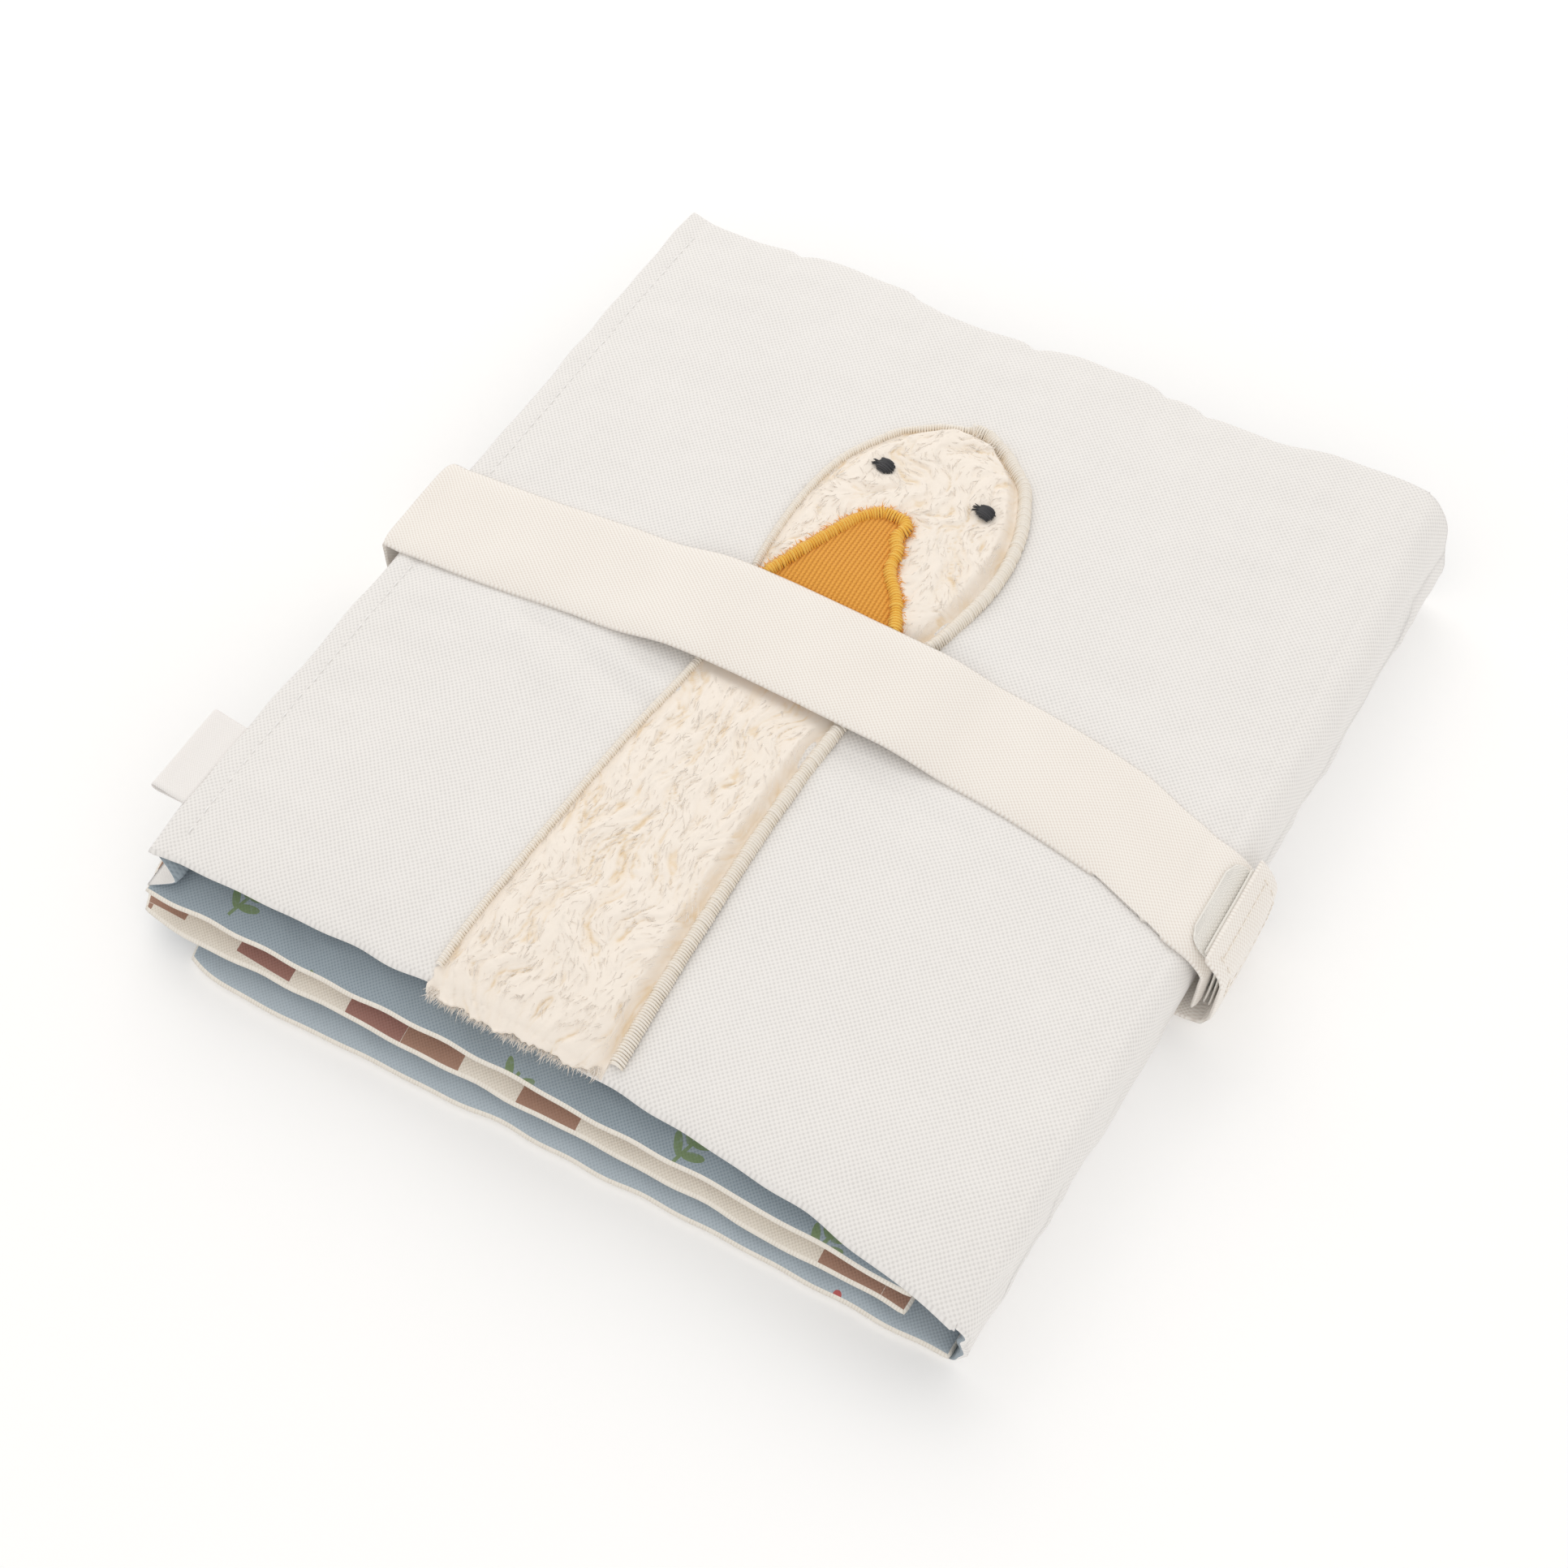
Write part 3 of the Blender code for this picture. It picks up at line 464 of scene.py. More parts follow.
def outline_edges(outline: Sequence, share: Grid) -> tuple[Grid, Grid]:
    """The left and right edge of an outline at shares of its height, as shares of its width."""
    table = np.array([[s, *between(outline, s)] for s in np.linspace(0, 1, 161)])
    return np.interp(share, table[:, 0], table[:, 1]), np.interp(share, table[:, 0], table[:, 2])


def goose_edges(y: Grid) -> tuple[Grid, Grid]:
    """The goose's left and right edge at places along the book."""
    left, right = outline_edges(GOOSE_OUTLINE, (np.asarray(y, float) - GOOSE_FOOT_Y) / GOOSE_HEIGHT)
    return GOOSE_X + left * GOOSE_WIDTH, GOOSE_X + right * GOOSE_WIDTH


def beak_edges(y: Grid) -> tuple[Grid, Grid, Grid]:
    """Shares of the beak's height at places along the book, and its left and right edge there."""
    share = (np.asarray(y, float) - BEAK_FOOT_Y) / BEAK_HEIGHT
    left, right = outline_edges(BEAK_OUTLINE, np.clip(share, 0, 1))
    return share, BEAK_X + left * BEAK_WIDTH, BEAK_X + right * BEAK_WIDTH


def pile_height(x: Grid, y: Grid) -> Grid:
    """The plush's height, pressed down where the strap crosses it."""
    return (0.8 + 1.4 * np.clip(near_strap(x, y) / (8 * MM), 0, 1)) * MM


# ---------------------------------------------------------------- materials


class Wire:
    """A number in a material's nodes that can be used in plain arithmetic."""

    def __init__(self, paint: "Paint", socket: bpy.types.NodeSocket) -> None:
        """Wraps a node's output."""
        self.paint, self.socket = paint, socket

    def math(self, operation: str, other: Number = 0.0, flipped: bool = False) -> "Wire":
        """This number and another through a Math node."""
        pair = (other, self) if flipped else (self, other)
        return self.paint.node("ShaderNodeMath", {"operation": operation}, *pair)

    def __add__(self, other: Number) -> "Wire":
        """The sum."""
        return self.math("ADD", other)

    __radd__ = __add__

    def __sub__(self, other: Number) -> "Wire":
        """The difference."""
        return self.math("SUBTRACT", other)

    def __rsub__(self, other: Number) -> "Wire":
        """The difference, from the right."""
        return self.math("SUBTRACT", other, True)

    def __mul__(self, other: Number) -> "Wire":
        """The product."""
        return self.math("MULTIPLY", other)

    __rmul__ = __mul__

    def __truediv__(self, other: Number) -> "Wire":
        """The quotient."""
        return self.math("DIVIDE", other)

    def __pow__(self, other: Number) -> "Wire":
        """The power."""
        return self.math("POWER", other)

    def sine(self) -> "Wire":
        """Its sine."""
        return self.math("SINE")

    def size(self) -> "Wire":
        """Its size without its sign."""
        return self.math("ABSOLUTE")

    def above(self, edge: Number) -> "Wire":
        """1 where it is above the edge, else 0."""
        return self.math("GREATER_THAN", edge)

    def below(self, edge: Number) -> "Wire":
        """1 where it is below the edge, else 0."""
        return self.math("LESS_THAN", edge)

    def fades(self, start: float, end: float) -> "Wire":
        """A soft step from 0 at start to 1 at end."""
        settings = {"interpolation_type": "SMOOTHSTEP"}
        return self.paint.node("ShaderNodeMapRange", settings, self, start, end, 0.0, 1.0)


Value = Union[float, tuple, Wire, None]


class Paint:
    """A material in the making: a Principled shader and the nodes that feed it."""

    def __init__(self, name: str, roughness: float, sheen: float = 0.0) -> None:
        """Starts a material.

        Args:
            name: its name.
            roughness: the roughness all over.
            sheen: the soft shine of loose fibres, all over.
        """
        self.material = bpy.data.materials.new(name)
        self.material.use_nodes = True
        self.tree = self.material.node_tree
        self.shader = self.tree.nodes["Principled BSDF"]
        self.shader.inputs["Roughness"].default_value = roughness
        self.shader.inputs["Sheen Weight"].default_value = sheen
        self.shader.inputs["Sheen Roughness"].default_value = 0.5
        self.shader.inputs["Specular IOR Level"].default_value = 0.25

    def node(self, kind: str, settings: Optional[dict] = None, *values: Value, out: int = 0) -> Wire:
        """Adds a node.

        Args:
            kind: its type.
            settings: its settings, set first.
            values: what its inputs take, in order; None leaves one as it is.
            out: which output is read.

        Returns:
            That output.
        """
        node = self.tree.nodes.new(kind)
        for key, value in (settings or {}).items():
            setattr(node, key, value)
        for i, value in enumerate(values):
            if isinstance(value, Wire):
                self.tree.links.new(value.socket, node.inputs[i])
            elif value is not None:
                node.inputs[i].default_value = value
        return Wire(self, node.outputs[out])

    def feed(self, socket: str, value: Value) -> None:
        """Sets or links one of the shader's inputs."""
        if isinstance(value, Wire):
            self.tree.links.new(value.socket, self.shader.inputs[socket])
        else:
            self.shader.inputs[socket].default_value = (*value, 1.0) if isinstance(value, tuple) else value

    def measure(self) -> tuple[Wire, Wire, Wire]:
        """The cloth's own measure in millimetres: along, across, and both as a vector."""
        place = self.node("ShaderNodeUVMap", {"uv_map": "cloth"})
        return (self.node("ShaderNodeSeparateXYZ", None, place),
                self.node("ShaderNodeSeparateXYZ", None, place, out=1), place)

    def noise(self, place: Wire, scale: float, detail: float = 2.0, rough: float = 0.5) -> Wire:
        """Cloudy noise about 0.5."""
        return self.node("ShaderNodeTexNoise", None, place, None, scale, detail, rough)

    def stretched(self, place: Wire, scale: tuple, turn: float = 0.0) -> Wire:
        """The place with its axes scaled and turned."""
        return self.node("ShaderNodeMapping", None, place, None, (0.0, 0.0, turn), scale)

    def mix(self, share: Number, first: Value, second: Value, blend: str = "MIX") -> Wire:
        """A mix of two colours."""
        colours = [(*c, 1.0) if isinstance(c, tuple) else c for c in (first, second)]
        settings = {"data_type": "RGBA", "blend_type": blend}
        return self.node("ShaderNodeMix", settings, share, None, None, None, None, None, *colours, out=2)

    def bump(self, height: Wire, distance: float, strength: float = 1.0) -> None:
        """Raises the surface by a height; several calls add up."""
        link = self.shader.inputs["Normal"].links
        before = Wire(self, link[0].from_socket) if link else None
        # The third input is the filter's width; the last is the normal under the bump
        bumped = self.node("ShaderNodeBump", None, strength, distance, None, height, before)
        self.tree.links.new(bumped.socket, self.shader.inputs["Normal"])


class Print(Enum):
    """What is printed on a cloth."""

    NONE = "plain"
    SPRIGS = "sprigs"
    BLOCKS = "blocks"
    BERRIES = "berries"


@dataclass(frozen=True)
class WovenCloth:
    """A woven cloth with its threads, its unevenness, its print and painted shade in the weave's hollows."""

    name: str
    colour: tuple
    # shade: the colour painted into the weave's hollows as painted shade
    shade: tuple
    pitch: float
    depth: float = 0.12 * MM
    fleck: float = 0.0
    printed: Print = Print.NONE
    roughness: float = 0.88

    def make(self) -> bpy.types.Material:
        """Mixes the material.

        Returns:
            The cloth's material.
        """
        paint = Paint(self.name, self.roughness, sheen=0.15)
        along, across, place = paint.measure()
        wobble = paint.noise(place, 0.10, 1.0) * 0.8
        warp = ((along + wobble) * (2 * math.pi / self.pitch)).sine()
        weft = ((across + wobble) * (2 * math.pi / self.pitch)).sine()
        weave = warp * weft * 0.5 + 0.5
        slub = paint.noise(paint.stretched(place, (1 / self.pitch, 0.12, 1.0)), 1.0, 2.0)
        slub = slub + paint.noise(paint.stretched(place, (0.12, 1 / self.pitch, 1.0)), 1.0, 2.0)
        clouds = paint.noise(place, 0.035, 3.0)
        # Painted shade: the weave's hollows take the shade colour; the slubs and clouds are the cloth's own uneven
        # tone.
        tint = paint.mix((weave * 0.72 + slub * 0.16 + clouds * 0.12).fades(0.15, 0.75), self.shade, self.colour)
        tint = self.print_on(paint, tint, along, across, place)
        if self.fleck:
            speck = paint.noise(place, 1.1, 3.0).fades(0.66, 0.78)
            tint = paint.mix(speck * self.fleck, tint, tuple(0.62 * c for c in self.shade))
        paint.feed("Base Color", tint)
        paint.bump(weave * 0.9 + slub * 0.1, self.depth)
        paint.bump(paint.noise(place, 0.09, 2.0), 0.5 * MM, 0.10)
        return paint.material

    def print_on(self, paint: Paint, tint: Wire, along: Wire, across: Wire, place: Wire) -> Wire:
        """Lays the print over the cloth's colour.

        Args:
            paint: the material.
            tint: the cloth's colour.
            along: the measure along the cloth.
            across: the measure across it.
            place: both as a vector.

        Returns:
            The printed colour.
        """
        if self.printed is Print.SPRIGS:
            tint = self.sprigs_on(paint, tint, place)
        if self.printed is Print.BLOCKS:
            cells = paint.node("ShaderNodeTexBrick", {"offset": 0.37, "squash": 1.0}, place,
                               (0.0, 0.0, 0.0, 1.0), (1.0, 1.0, 1.0, 1.0), (0.5, 0.5, 0.5, 1.0), 0.1, 0.004,
                               0.1, 0.0, 1.3, 0.85)
            picked = paint.node("ShaderNodeSeparateXYZ", None, cells)
            half_width, half_depth = 86.0, 101.0
            border = paint.node("ShaderNodeMath", {"operation": "MAXIMUM"}, (along + 8.0).size() / half_width,
                                across.size() / half_depth).above(0.86)
            tint = paint.mix(picked.above(0.60) * border * 0.85, tint, (0.30, 0.13, 0.075))
            tint = paint.mix(picked.below(0.20) * border * 0.85, tint, (0.26, 0.075, 0.055))
        if self.printed is Print.BERRIES:
            berry = paint.node("ShaderNodeTexVoronoi", None, place, None, 0.045)
            tint = paint.mix(berry.below(0.13) * 0.9, tint, (0.50, 0.075, 0.065))
        return tint

    def sprigs_on(self, paint: Paint, tint: Wire, place: Wire) -> Wire:
        """Prints a plain sprig, a stem with three pairs of leaves, in each cell of a loose grid.

        Args:
            paint: the material.
            tint: the cloth's colour.
            place: the cloth's own measure.

        Returns:
            The printed colour.
        """
        size = 20.0
        cells = paint.stretched(place, (1 / size, 1 / size, 1.0), 0.35)
        centre = paint.node("ShaderNodeTexVoronoi", {"voronoi_dimensions": "2D"}, cells, None, 1.0, out=2)
        centre.socket.node.inputs["Randomness"].default_value = 0.5
        local = paint.node("ShaderNodeVectorMath", {"operation": "SUBTRACT"}, cells, centre)
        x = paint.node("ShaderNodeSeparateXYZ", None, local) * size
        y = paint.node("ShaderNodeSeparateXYZ", None, local, out=1) * size
        mask = (x.size() - 0.35).below(0.0) * (y.size() - 5.2).below(0.0)
        for up, side, turn in ((3.6, 1, 0.9), (3.2, -1, 0.8), (0.6, 1, 0.75), (0.2, -1, 0.85), (-2.4, 1, 0.6),
                               (-2.8, -1, 0.7)):
            across, along = x - side * 1.9, y - (up + 0.9)
            ahead = across * (side * math.cos(turn)) + along * math.sin(turn)
            beside = across * (-side * math.sin(turn)) + along * math.cos(turn)
            mask = mask + ((ahead / 2.3) ** 2.0 + (beside / 0.85) ** 2.0).below(1.0)
        worn = paint.noise(place, 0.8, 2.0).fades(0.25, 0.5)
        return paint.mix(mask.above(0.5) * (worn * 0.3 + 0.58), tint, (0.175, 0.25, 0.10))


@dataclass(frozen=True)
class Twill:
    """The soft brushed tape of the strap."""

    name: str = "strap_tape"
    colour: tuple = (0.955, 0.915, 0.862)
    # The colour painted into the rib hollows as painted shade.
    shade: tuple = (0.82, 0.755, 0.69)
    pitch: float = 0.95

    def make(self) -> bpy.types.Material:
        """Mixes the material with its fine slanting ribs, the hollows between them painted darker as painted shade."""
        paint = Paint(self.name, 0.9, sheen=0.3)
        along, across, place = paint.measure()
        wobble = paint.noise(place, 0.15, 1.0) * 0.5
        rib = ((along + across * 1.15 + wobble) * (2 * math.pi / self.pitch)).sine() * 0.5 + 0.5
        float_ = ((along * 0.9 - across * 1.3) * (2 * math.pi / self.pitch)).sine() * 0.5 + 0.5
        height = rib * 0.6 + float_ * 0.4
        fuzz = paint.noise(place, 3.0, 3.0)
        clouds = paint.noise(place, 0.06, 2.0)
        # Painted shade: the rib hollows take the shade colour; the fuzz and clouds are the tape's own uneven tone.
        share = (height * 0.65 + fuzz * 0.15 + clouds * 0.2).fades(0.18, 0.72)
        paint.feed("Base Color", paint.mix(share, self.shade, self.colour))
        paint.bump(height * 0.8 + fuzz * 0.3, 0.05 * MM)
        paint.bump(paint.noise(place, 0.10, 2.0), 0.5 * MM, 0.2)
        return paint.material


@dataclass(frozen=True)
class Yarn:
    """A thread, lock or hair painted darker at its root or ends as painted shade and lighter at its tip, each one a
    little different in tone from the next.
    """

    name: str
    root: tuple
    tip: tuple
    uneven: tuple
    roughness: float = 0.6
    sheen: float = 0.2

    def make(self) -> bpy.types.Material:
        """Mixes the material from the painted shade and the tint that each strand carries."""
        paint = Paint(self.name, self.roughness, self.sheen)
        shade, tint, around = (paint.node("ShaderNodeAttribute", {"attribute_name": key}, out=2)
                               for key in ("shade", "tint", "round"))
        # Painted shade: low shade values take the darker root colour, high ones the lit tip colour.
        body = paint.mix(shade.fades(0.0, 1.0), self.root, self.tip)
        paint.feed("Base Color", paint.mix(tint * 0.6, body, self.uneven))
        fibres = (around * 14.0).sine()
        paint.bump(fibres * 0.5 + 0.5, 0.012 * MM, 0.5)
        return paint.material


@dataclass(frozen=True)
class Knit:
    """The ribbed knit of the beak."""

    name: str
    colour: tuple
    shade: tuple
    pitch: float
    depth: float = 0.15 * MM

    def make(self) -> bpy.types.Material:
        """Mixes the material: small slanting loops on each rib, the hollows between ribs and loops painted darker as
        painted shade.
        """
        paint = Paint(self.name, 0.85, sheen=0.2)
        along, across, place = paint.measure()
        rib = (along * (math.pi / self.pitch)).sine().size()
        lean = (across + rib * 0.45) * (2 * math.pi / (self.pitch * 0.8))
        loop = lean.sine() * 0.5 + 0.5
        fuzz = paint.noise(place, 2.5, 3.0)
        # Painted shade: the dips between ribs and loops take the darker shade colour.
        share = (rib * 0.62 + loop * 0.26 * rib + fuzz * 0.14).fades(0.22, 0.85)
        paint.feed("Base Color", paint.mix(share, self.shade, self.colour))
        paint.bump(rib * 0.6 + loop * 0.35 + fuzz * 0.2, self.depth)
        return paint.material


@dataclass(frozen=True)
class Hooks:
    """The stiff, pale tape of tiny hooks or loops."""

    name: str
    colour: tuple
    pitch: float = 0.9

    def make(self) -> bpy.types.Material:
        """Mixes the material: rows of tiny knobs on a pale tape, the gaps between the knobs painted darker as painted
        shade.
        """
        paint = Paint(self.name, 0.45, sheen=0.1)
        along, across, place = paint.measure()
        rows = (along * (2 * math.pi / self.pitch)).sine() * (across * (2 * math.pi / self.pitch)).sine()
        knob = (rows * 0.5 + 0.5).fades(0.3, 0.9)
        fuzz = paint.noise(place, 2.2, 2.0)
        # Painted shade: the gaps between the knobs take a darker copy of the tape's colour.
        paint.feed("Base Color", paint.mix(knob * 0.7 + fuzz * 0.3, tuple(0.86 * c for c in self.colour), self.colour))
        paint.bump(knob + fuzz * 0.4, 0.10 * MM)
        return paint.material


class Cupboard:
    """All the finished materials of the book."""

    def __init__(self) -> None:
        """Mixes each finish once."""
        canvas = (0.905, 0.882, 0.858)
        blue, pale, cream = (0.345, 0.405, 0.45), (0.47, 0.535, 0.585), (0.85, 0.79, 0.70)
        blue_shade = (0.24, 0.29, 0.33)
        self.canvas = WovenCloth("white_canvas", canvas, (0.74, 0.72, 0.70), 1.10, 0.07 * MM, fleck=0.05).make()
        self.lining = WovenCloth("blue_lining_cloth", blue, blue_shade, 0.85, 0.05 * MM).make()
        self.sprigs = WovenCloth("blue_sprig_cloth", blue, blue_shade, 0.85, 0.05 * MM,
                                 printed=Print.SPRIGS).make()
        self.berries = WovenCloth("blue_berry_cloth", pale, (0.36, 0.42, 0.47), 0.85, 0.05 * MM,
                                  printed=Print.BERRIES).make()
        self.page = WovenCloth("cream_page_cloth", cream, (0.72, 0.66, 0.57), 0.8, 0.09 * MM,
                               printed=Print.BLOCKS).make()
        self.page_plain = WovenCloth("cream_rim_cloth", (0.91, 0.86, 0.78), (0.80, 0.74, 0.65), 0.6, 0.04 * MM).make()
        self.gusset = WovenCloth("white_gusset_cloth", canvas, (0.78, 0.76, 0.73), 0.5, 0.07 * MM).make()
        self.strap = Twill().make()
        self.label = WovenCloth("label_tape_cloth", (0.94, 0.91, 0.89), (0.85, 0.82, 0.79), 0.5, 0.05 * MM).make()
        self.hook = Hooks("hook_tape_plastic", (0.95, 0.92, 0.865)).make()
        # Each yarn's first colour is its painted shade at the root, the second its lit tip, the third its uneven tone.
        self.plush = Yarn("plush_pile", (0.84, 0.66, 0.44), (0.945, 0.865, 0.775), (0.95, 0.89, 0.82),
                          0.9, 0.15).make()
        self.cream_thread = Yarn("cream_satin", (0.86, 0.77, 0.64), (0.945, 0.885, 0.80), (0.95, 0.90, 0.83),
                                 0.5).make()
        self.white_thread = Yarn("white_stitch", (0.88, 0.86, 0.83), (0.92, 0.905, 0.885),
                                 (0.94, 0.93, 0.91), 0.55).make()
        self.knit = Knit("orange_knit_rib", (0.87, 0.41, 0.07), (0.69, 0.29, 0.038), BEAK_RIB, 0.16 * MM).make()
        self.orange_thread = Yarn("golden_satin", (0.80, 0.37, 0.03), (0.93, 0.54, 0.08), (0.96, 0.62, 0.14),
                                  0.45).make()
        self.orange_fuzz = Yarn("orange_fuzz", (0.86, 0.36, 0.03), (0.95, 0.40, 0.03), (0.95, 0.50, 0.08), 0.6).make()
        self.dark_thread = Yarn("charcoal_satin", (0.018, 0.018, 0.02), (0.045, 0.045, 0.05),
                                (0.07, 0.07, 0.075), 0.5).make()


# ---------------------------------------------------------------- repeats by Geometry Nodes


class Repeat:
    """Sets one small shape on many marked points, turned and sized by what each point carries."""

    def __init__(self, name: str, unevenness: float, seed: int) -> None:
        """Builds the node tree.

        Args:
            name: the tree's name.
            unevenness: how far sizes vary, as a share.
            seed: the seed of the variation.
        """
        self.unevenness, self.seed = unevenness, seed
        tree = self.tree = bpy.data.node_groups.new(name, "GeometryNodeTree")
        socket = tree.interface.new_socket
        socket(name="Points", in_out="INPUT", socket_type="NodeSocketGeometry")
        self.inputs = {
            key: socket(name=key, in_out="INPUT", socket_type=kind).identifier
            for key, kind in (("Shape", "NodeSocketObject"), ("Unevenness", "NodeSocketFloat"),
                              ("Seed", "NodeSocketInt"), ("Finish", "NodeSocketMaterial"))
        }
        socket(name="Pieces", in_out="OUTPUT", socket_type="NodeSocketGeometry")
        given, done = tree.nodes.new("NodeGroupInput"), tree.nodes.new("NodeGroupOutput")
        shape = self.add("GeometryNodeObjectInfo", {}, Object=given.outputs["Shape"])
        turn, size = (self.add("GeometryNodeInputNamedAttribute", {"data_type": "FLOAT_VECTOR"}, Name=key)
                      for key in ("turn", "size"))
        low, high = (self.add("ShaderNodeMath", {"operation": kind}, Value=1.0, Value_001=given.outputs["Unevenness"])
                     for kind in ("SUBTRACT", "ADD"))
        scale = self.add("FunctionNodeRandomValue", {"data_type": "FLOAT"}, Min_001=low.outputs[0],
                         Max_001=high.outputs[0], Seed=given.outputs["Seed"])
        tint = self.add("FunctionNodeRandomValue", {"data_type": "FLOAT"}, Seed=given.outputs["Seed"])
        grown = self.add("ShaderNodeVectorMath", {"operation": "SCALE"}, Vector=size.outputs[0], Scale=scale.outputs[1])
        copies = self.add("GeometryNodeInstanceOnPoints", {}, Points=given.outputs["Points"],
                          Instance=shape.outputs["Geometry"], Rotation=turn.outputs[0], Scale=grown.outputs[0])
        kept = self.add("GeometryNodeStoreNamedAttribute", {"data_type": "FLOAT", "domain": "INSTANCE"},
                        Geometry=copies.outputs[0], Name="tint", Value=tint.outputs[1])
        real = self.add("GeometryNodeRealizeInstances", {}, Geometry=kept.outputs[0])
        dressed = self.add("GeometryNodeSetMaterial", {}, Geometry=real.outputs[0], Material=given.outputs["Finish"])
        tree.links.new(dressed.outputs[0], done.inputs[0])

    def add(self, kind: str, settings: dict, **values: object) -> bpy.types.Node:
        """Adds a node to the tree with its settings, links and values, by its sockets' identifiers."""
        node = self.tree.nodes.new(kind)
        for key, value in settings.items():
            setattr(node, key, value)
        sockets = {socket.identifier: socket for socket in node.inputs}
        for key, value in values.items():
            if isinstance(value, bpy.types.NodeSocket):
                self.tree.links.new(value, sockets[key])
            else:
                sockets[key].default_value = value
        return node

    def make(self, name: str, shape: bpy.types.Object, points: Grid, turns: Grid, sizes: Grid,
             material: bpy.types.Material) -> bpy.types.Object:
        """Repeats a shape.

        Args:
            name: the new piece's name.
            shape: the small shape.
            points: where each copy goes, in the source's own place.
            turns: each copy's turn about X, Y and Z.
            sizes: each copy's size.
            material: what they are made of.

        Returns:
            The piece, a plain mesh.
        """
        mesh = bpy.data.meshes.new(name + "_points")
        mesh.from_pydata((np.asarray(points) - ORIGIN).tolist(), [], [])
        for key, rows in (("turn", turns), ("size", sizes)):
            mesh.attributes.new(key, "FLOAT_VECTOR", "POINT").data.foreach_set("vector", np.ravel(rows))
        carrier = linked(name + "_points", mesh)
        modifier = carrier.modifiers.new("repeat", "NODES")
        modifier.node_group = self.tree
        given = {"Shape": shape, "Unevenness": self.unevenness, "Seed": self.seed, "Finish": material}
        for key, value in given.items():
            modifier[self.inputs[key]] = value
        bpy.context.view_layer.update()
        result = bpy.data.meshes.new_from_object(carrier.evaluated_get(bpy.context.evaluated_depsgraph_get()))
        carrier.modifiers.clear()
        bpy.data.objects.remove(carrier, do_unlink=True)
        result.name = name
        result.shade_smooth()
        return linked(name, result)


def strand(name: str, profile: Sequence, sides: int, shades: Sequence[float],
           flat: float = 1.0) -> bpy.types.Object:
    """A thin closed shape along X for Repeat to copy.

    Args:
        name: its name.
        profile: along, height and radius of each ring; the first and last shrink to a point.
        sides: how many sides it has.
        shades: the painted shade of each ring, low where the strand lies in shade.
        flat: its thickness as a share of its width.

    Returns:
        The shape, outside the scene.
    """
    points, faces, shade = [], [], []
    for (x, z, radius), value in zip(profile, shades):
        for k in range(sides):
            turn = 2 * math.pi * k / sides
            points.append((x, radius * math.cos(turn), z + radius * flat * math.sin(turn)))
            shade.append(value)
    for ring in range(len(profile) - 1):
        for k in range(sides):
            a, b = ring * sides + k, ring * sides + (k + 1) % sides
            faces.append((a, b, b + sides, a + sides))
    faces.append(tuple(range(sides))[::-1])
    faces.append(tuple(len(points) - sides + k for k in range(sides)))
    mesh = bpy.data.meshes.new(name)
    mesh.from_pydata(points, [], faces)
    mesh.attributes.new("shade", "FLOAT", "POINT").data.foreach_set("value", shade)
    round_ = [abs(2 * (i % sides) / sides - 1) for i in range(len(points))]
    mesh.attributes.new("round", "FLOAT", "POINT").data.foreach_set("value", round_)
    mesh.shade_smooth()
    return bpy.data.objects.new(name, mesh)


class Shapes:
    """The small shapes that repeat, and the trees that repeat them."""

    def __init__(self) -> None:
        """Makes the shapes."""
        arc = [(-0.5, 0.0, 0.10), (-0.46, 0.28, 0.40), (-0.22, 0.78, 0.5), (0.0, 0.95, 0.5),
               (0.22, 0.78, 0.5), (0.46, 0.28, 0.40), (0.5, 0.0, 0.10)]
        # The stitch is painted darker at its ends, where it sinks into the cloth: painted shade.
        self.stitch = strand("stitch_shape", arc, 5, (0.0, 0.25, 0.8, 1.0, 0.8, 0.25, 0.0))
        # The lock is painted darker at its root: painted shade.
        lock = [(0.0, 0.0, 0.5), (0.22, 0.62, 0.5), (0.45, 0.95, 0.42), (0.70, 0.85, 0.30), (1.0, 0.25, 0.03)]
        self.lock = strand("lock_shape", lock, 4, (0.3, 0.6, 0.8, 1.0, 0.9), 0.45)
        # The wisp is painted a little darker at its root: painted shade.
        wisp = [(0.0, 0.0, 0.5), (0.3, 0.75, 0.5), (0.65, 0.95, 0.35), (1.0, 0.35, 0.04)]
        self.wisp = strand("wisp_shape", wisp, 3, (0.9, 1.0, 1.0, 1.0), 0.4)
        self.satin = Repeat("satin_stitches", 0.06, 11)
        self.running = Repeat("running_stitches", 0.10, 12)
        self.locks = Repeat("plush_locks", 0.35, 13)


def facing(direction: Grid, lean: Union[float, Grid] = 0.0) -> Grid:
    """The turns that point X along a direction in the plane and lean it up."""
    direction = np.asarray(direction, float)
    turns = np.zeros((len(direction), 3))
    turns[:, 1] = -np.broadcast_to(lean, len(direction))
    turns[:, 2] = np.arctan2(direction[:, 1], direction[:, 0])
    return turns


def tangents(route: Grid, closed: bool = False) -> Grid:
    """The unit direction of a route in the plane at each of its points."""
    if closed:
        step = np.roll(route, -1, axis=0) - np.roll(route, 1, axis=0)
    else:
        step = np.gradient(route, axis=0)
    step = step[:, :2]
    return step / (np.linalg.norm(step, axis=1)[:, None] + 1e-12)


def leftward(way: Grid) -> Grid:
    """The direction to the left of each direction in the plane."""
    return points_of(-way[:, 1], way[:, 0])


# ---------------------------------------------------------------- the leaves


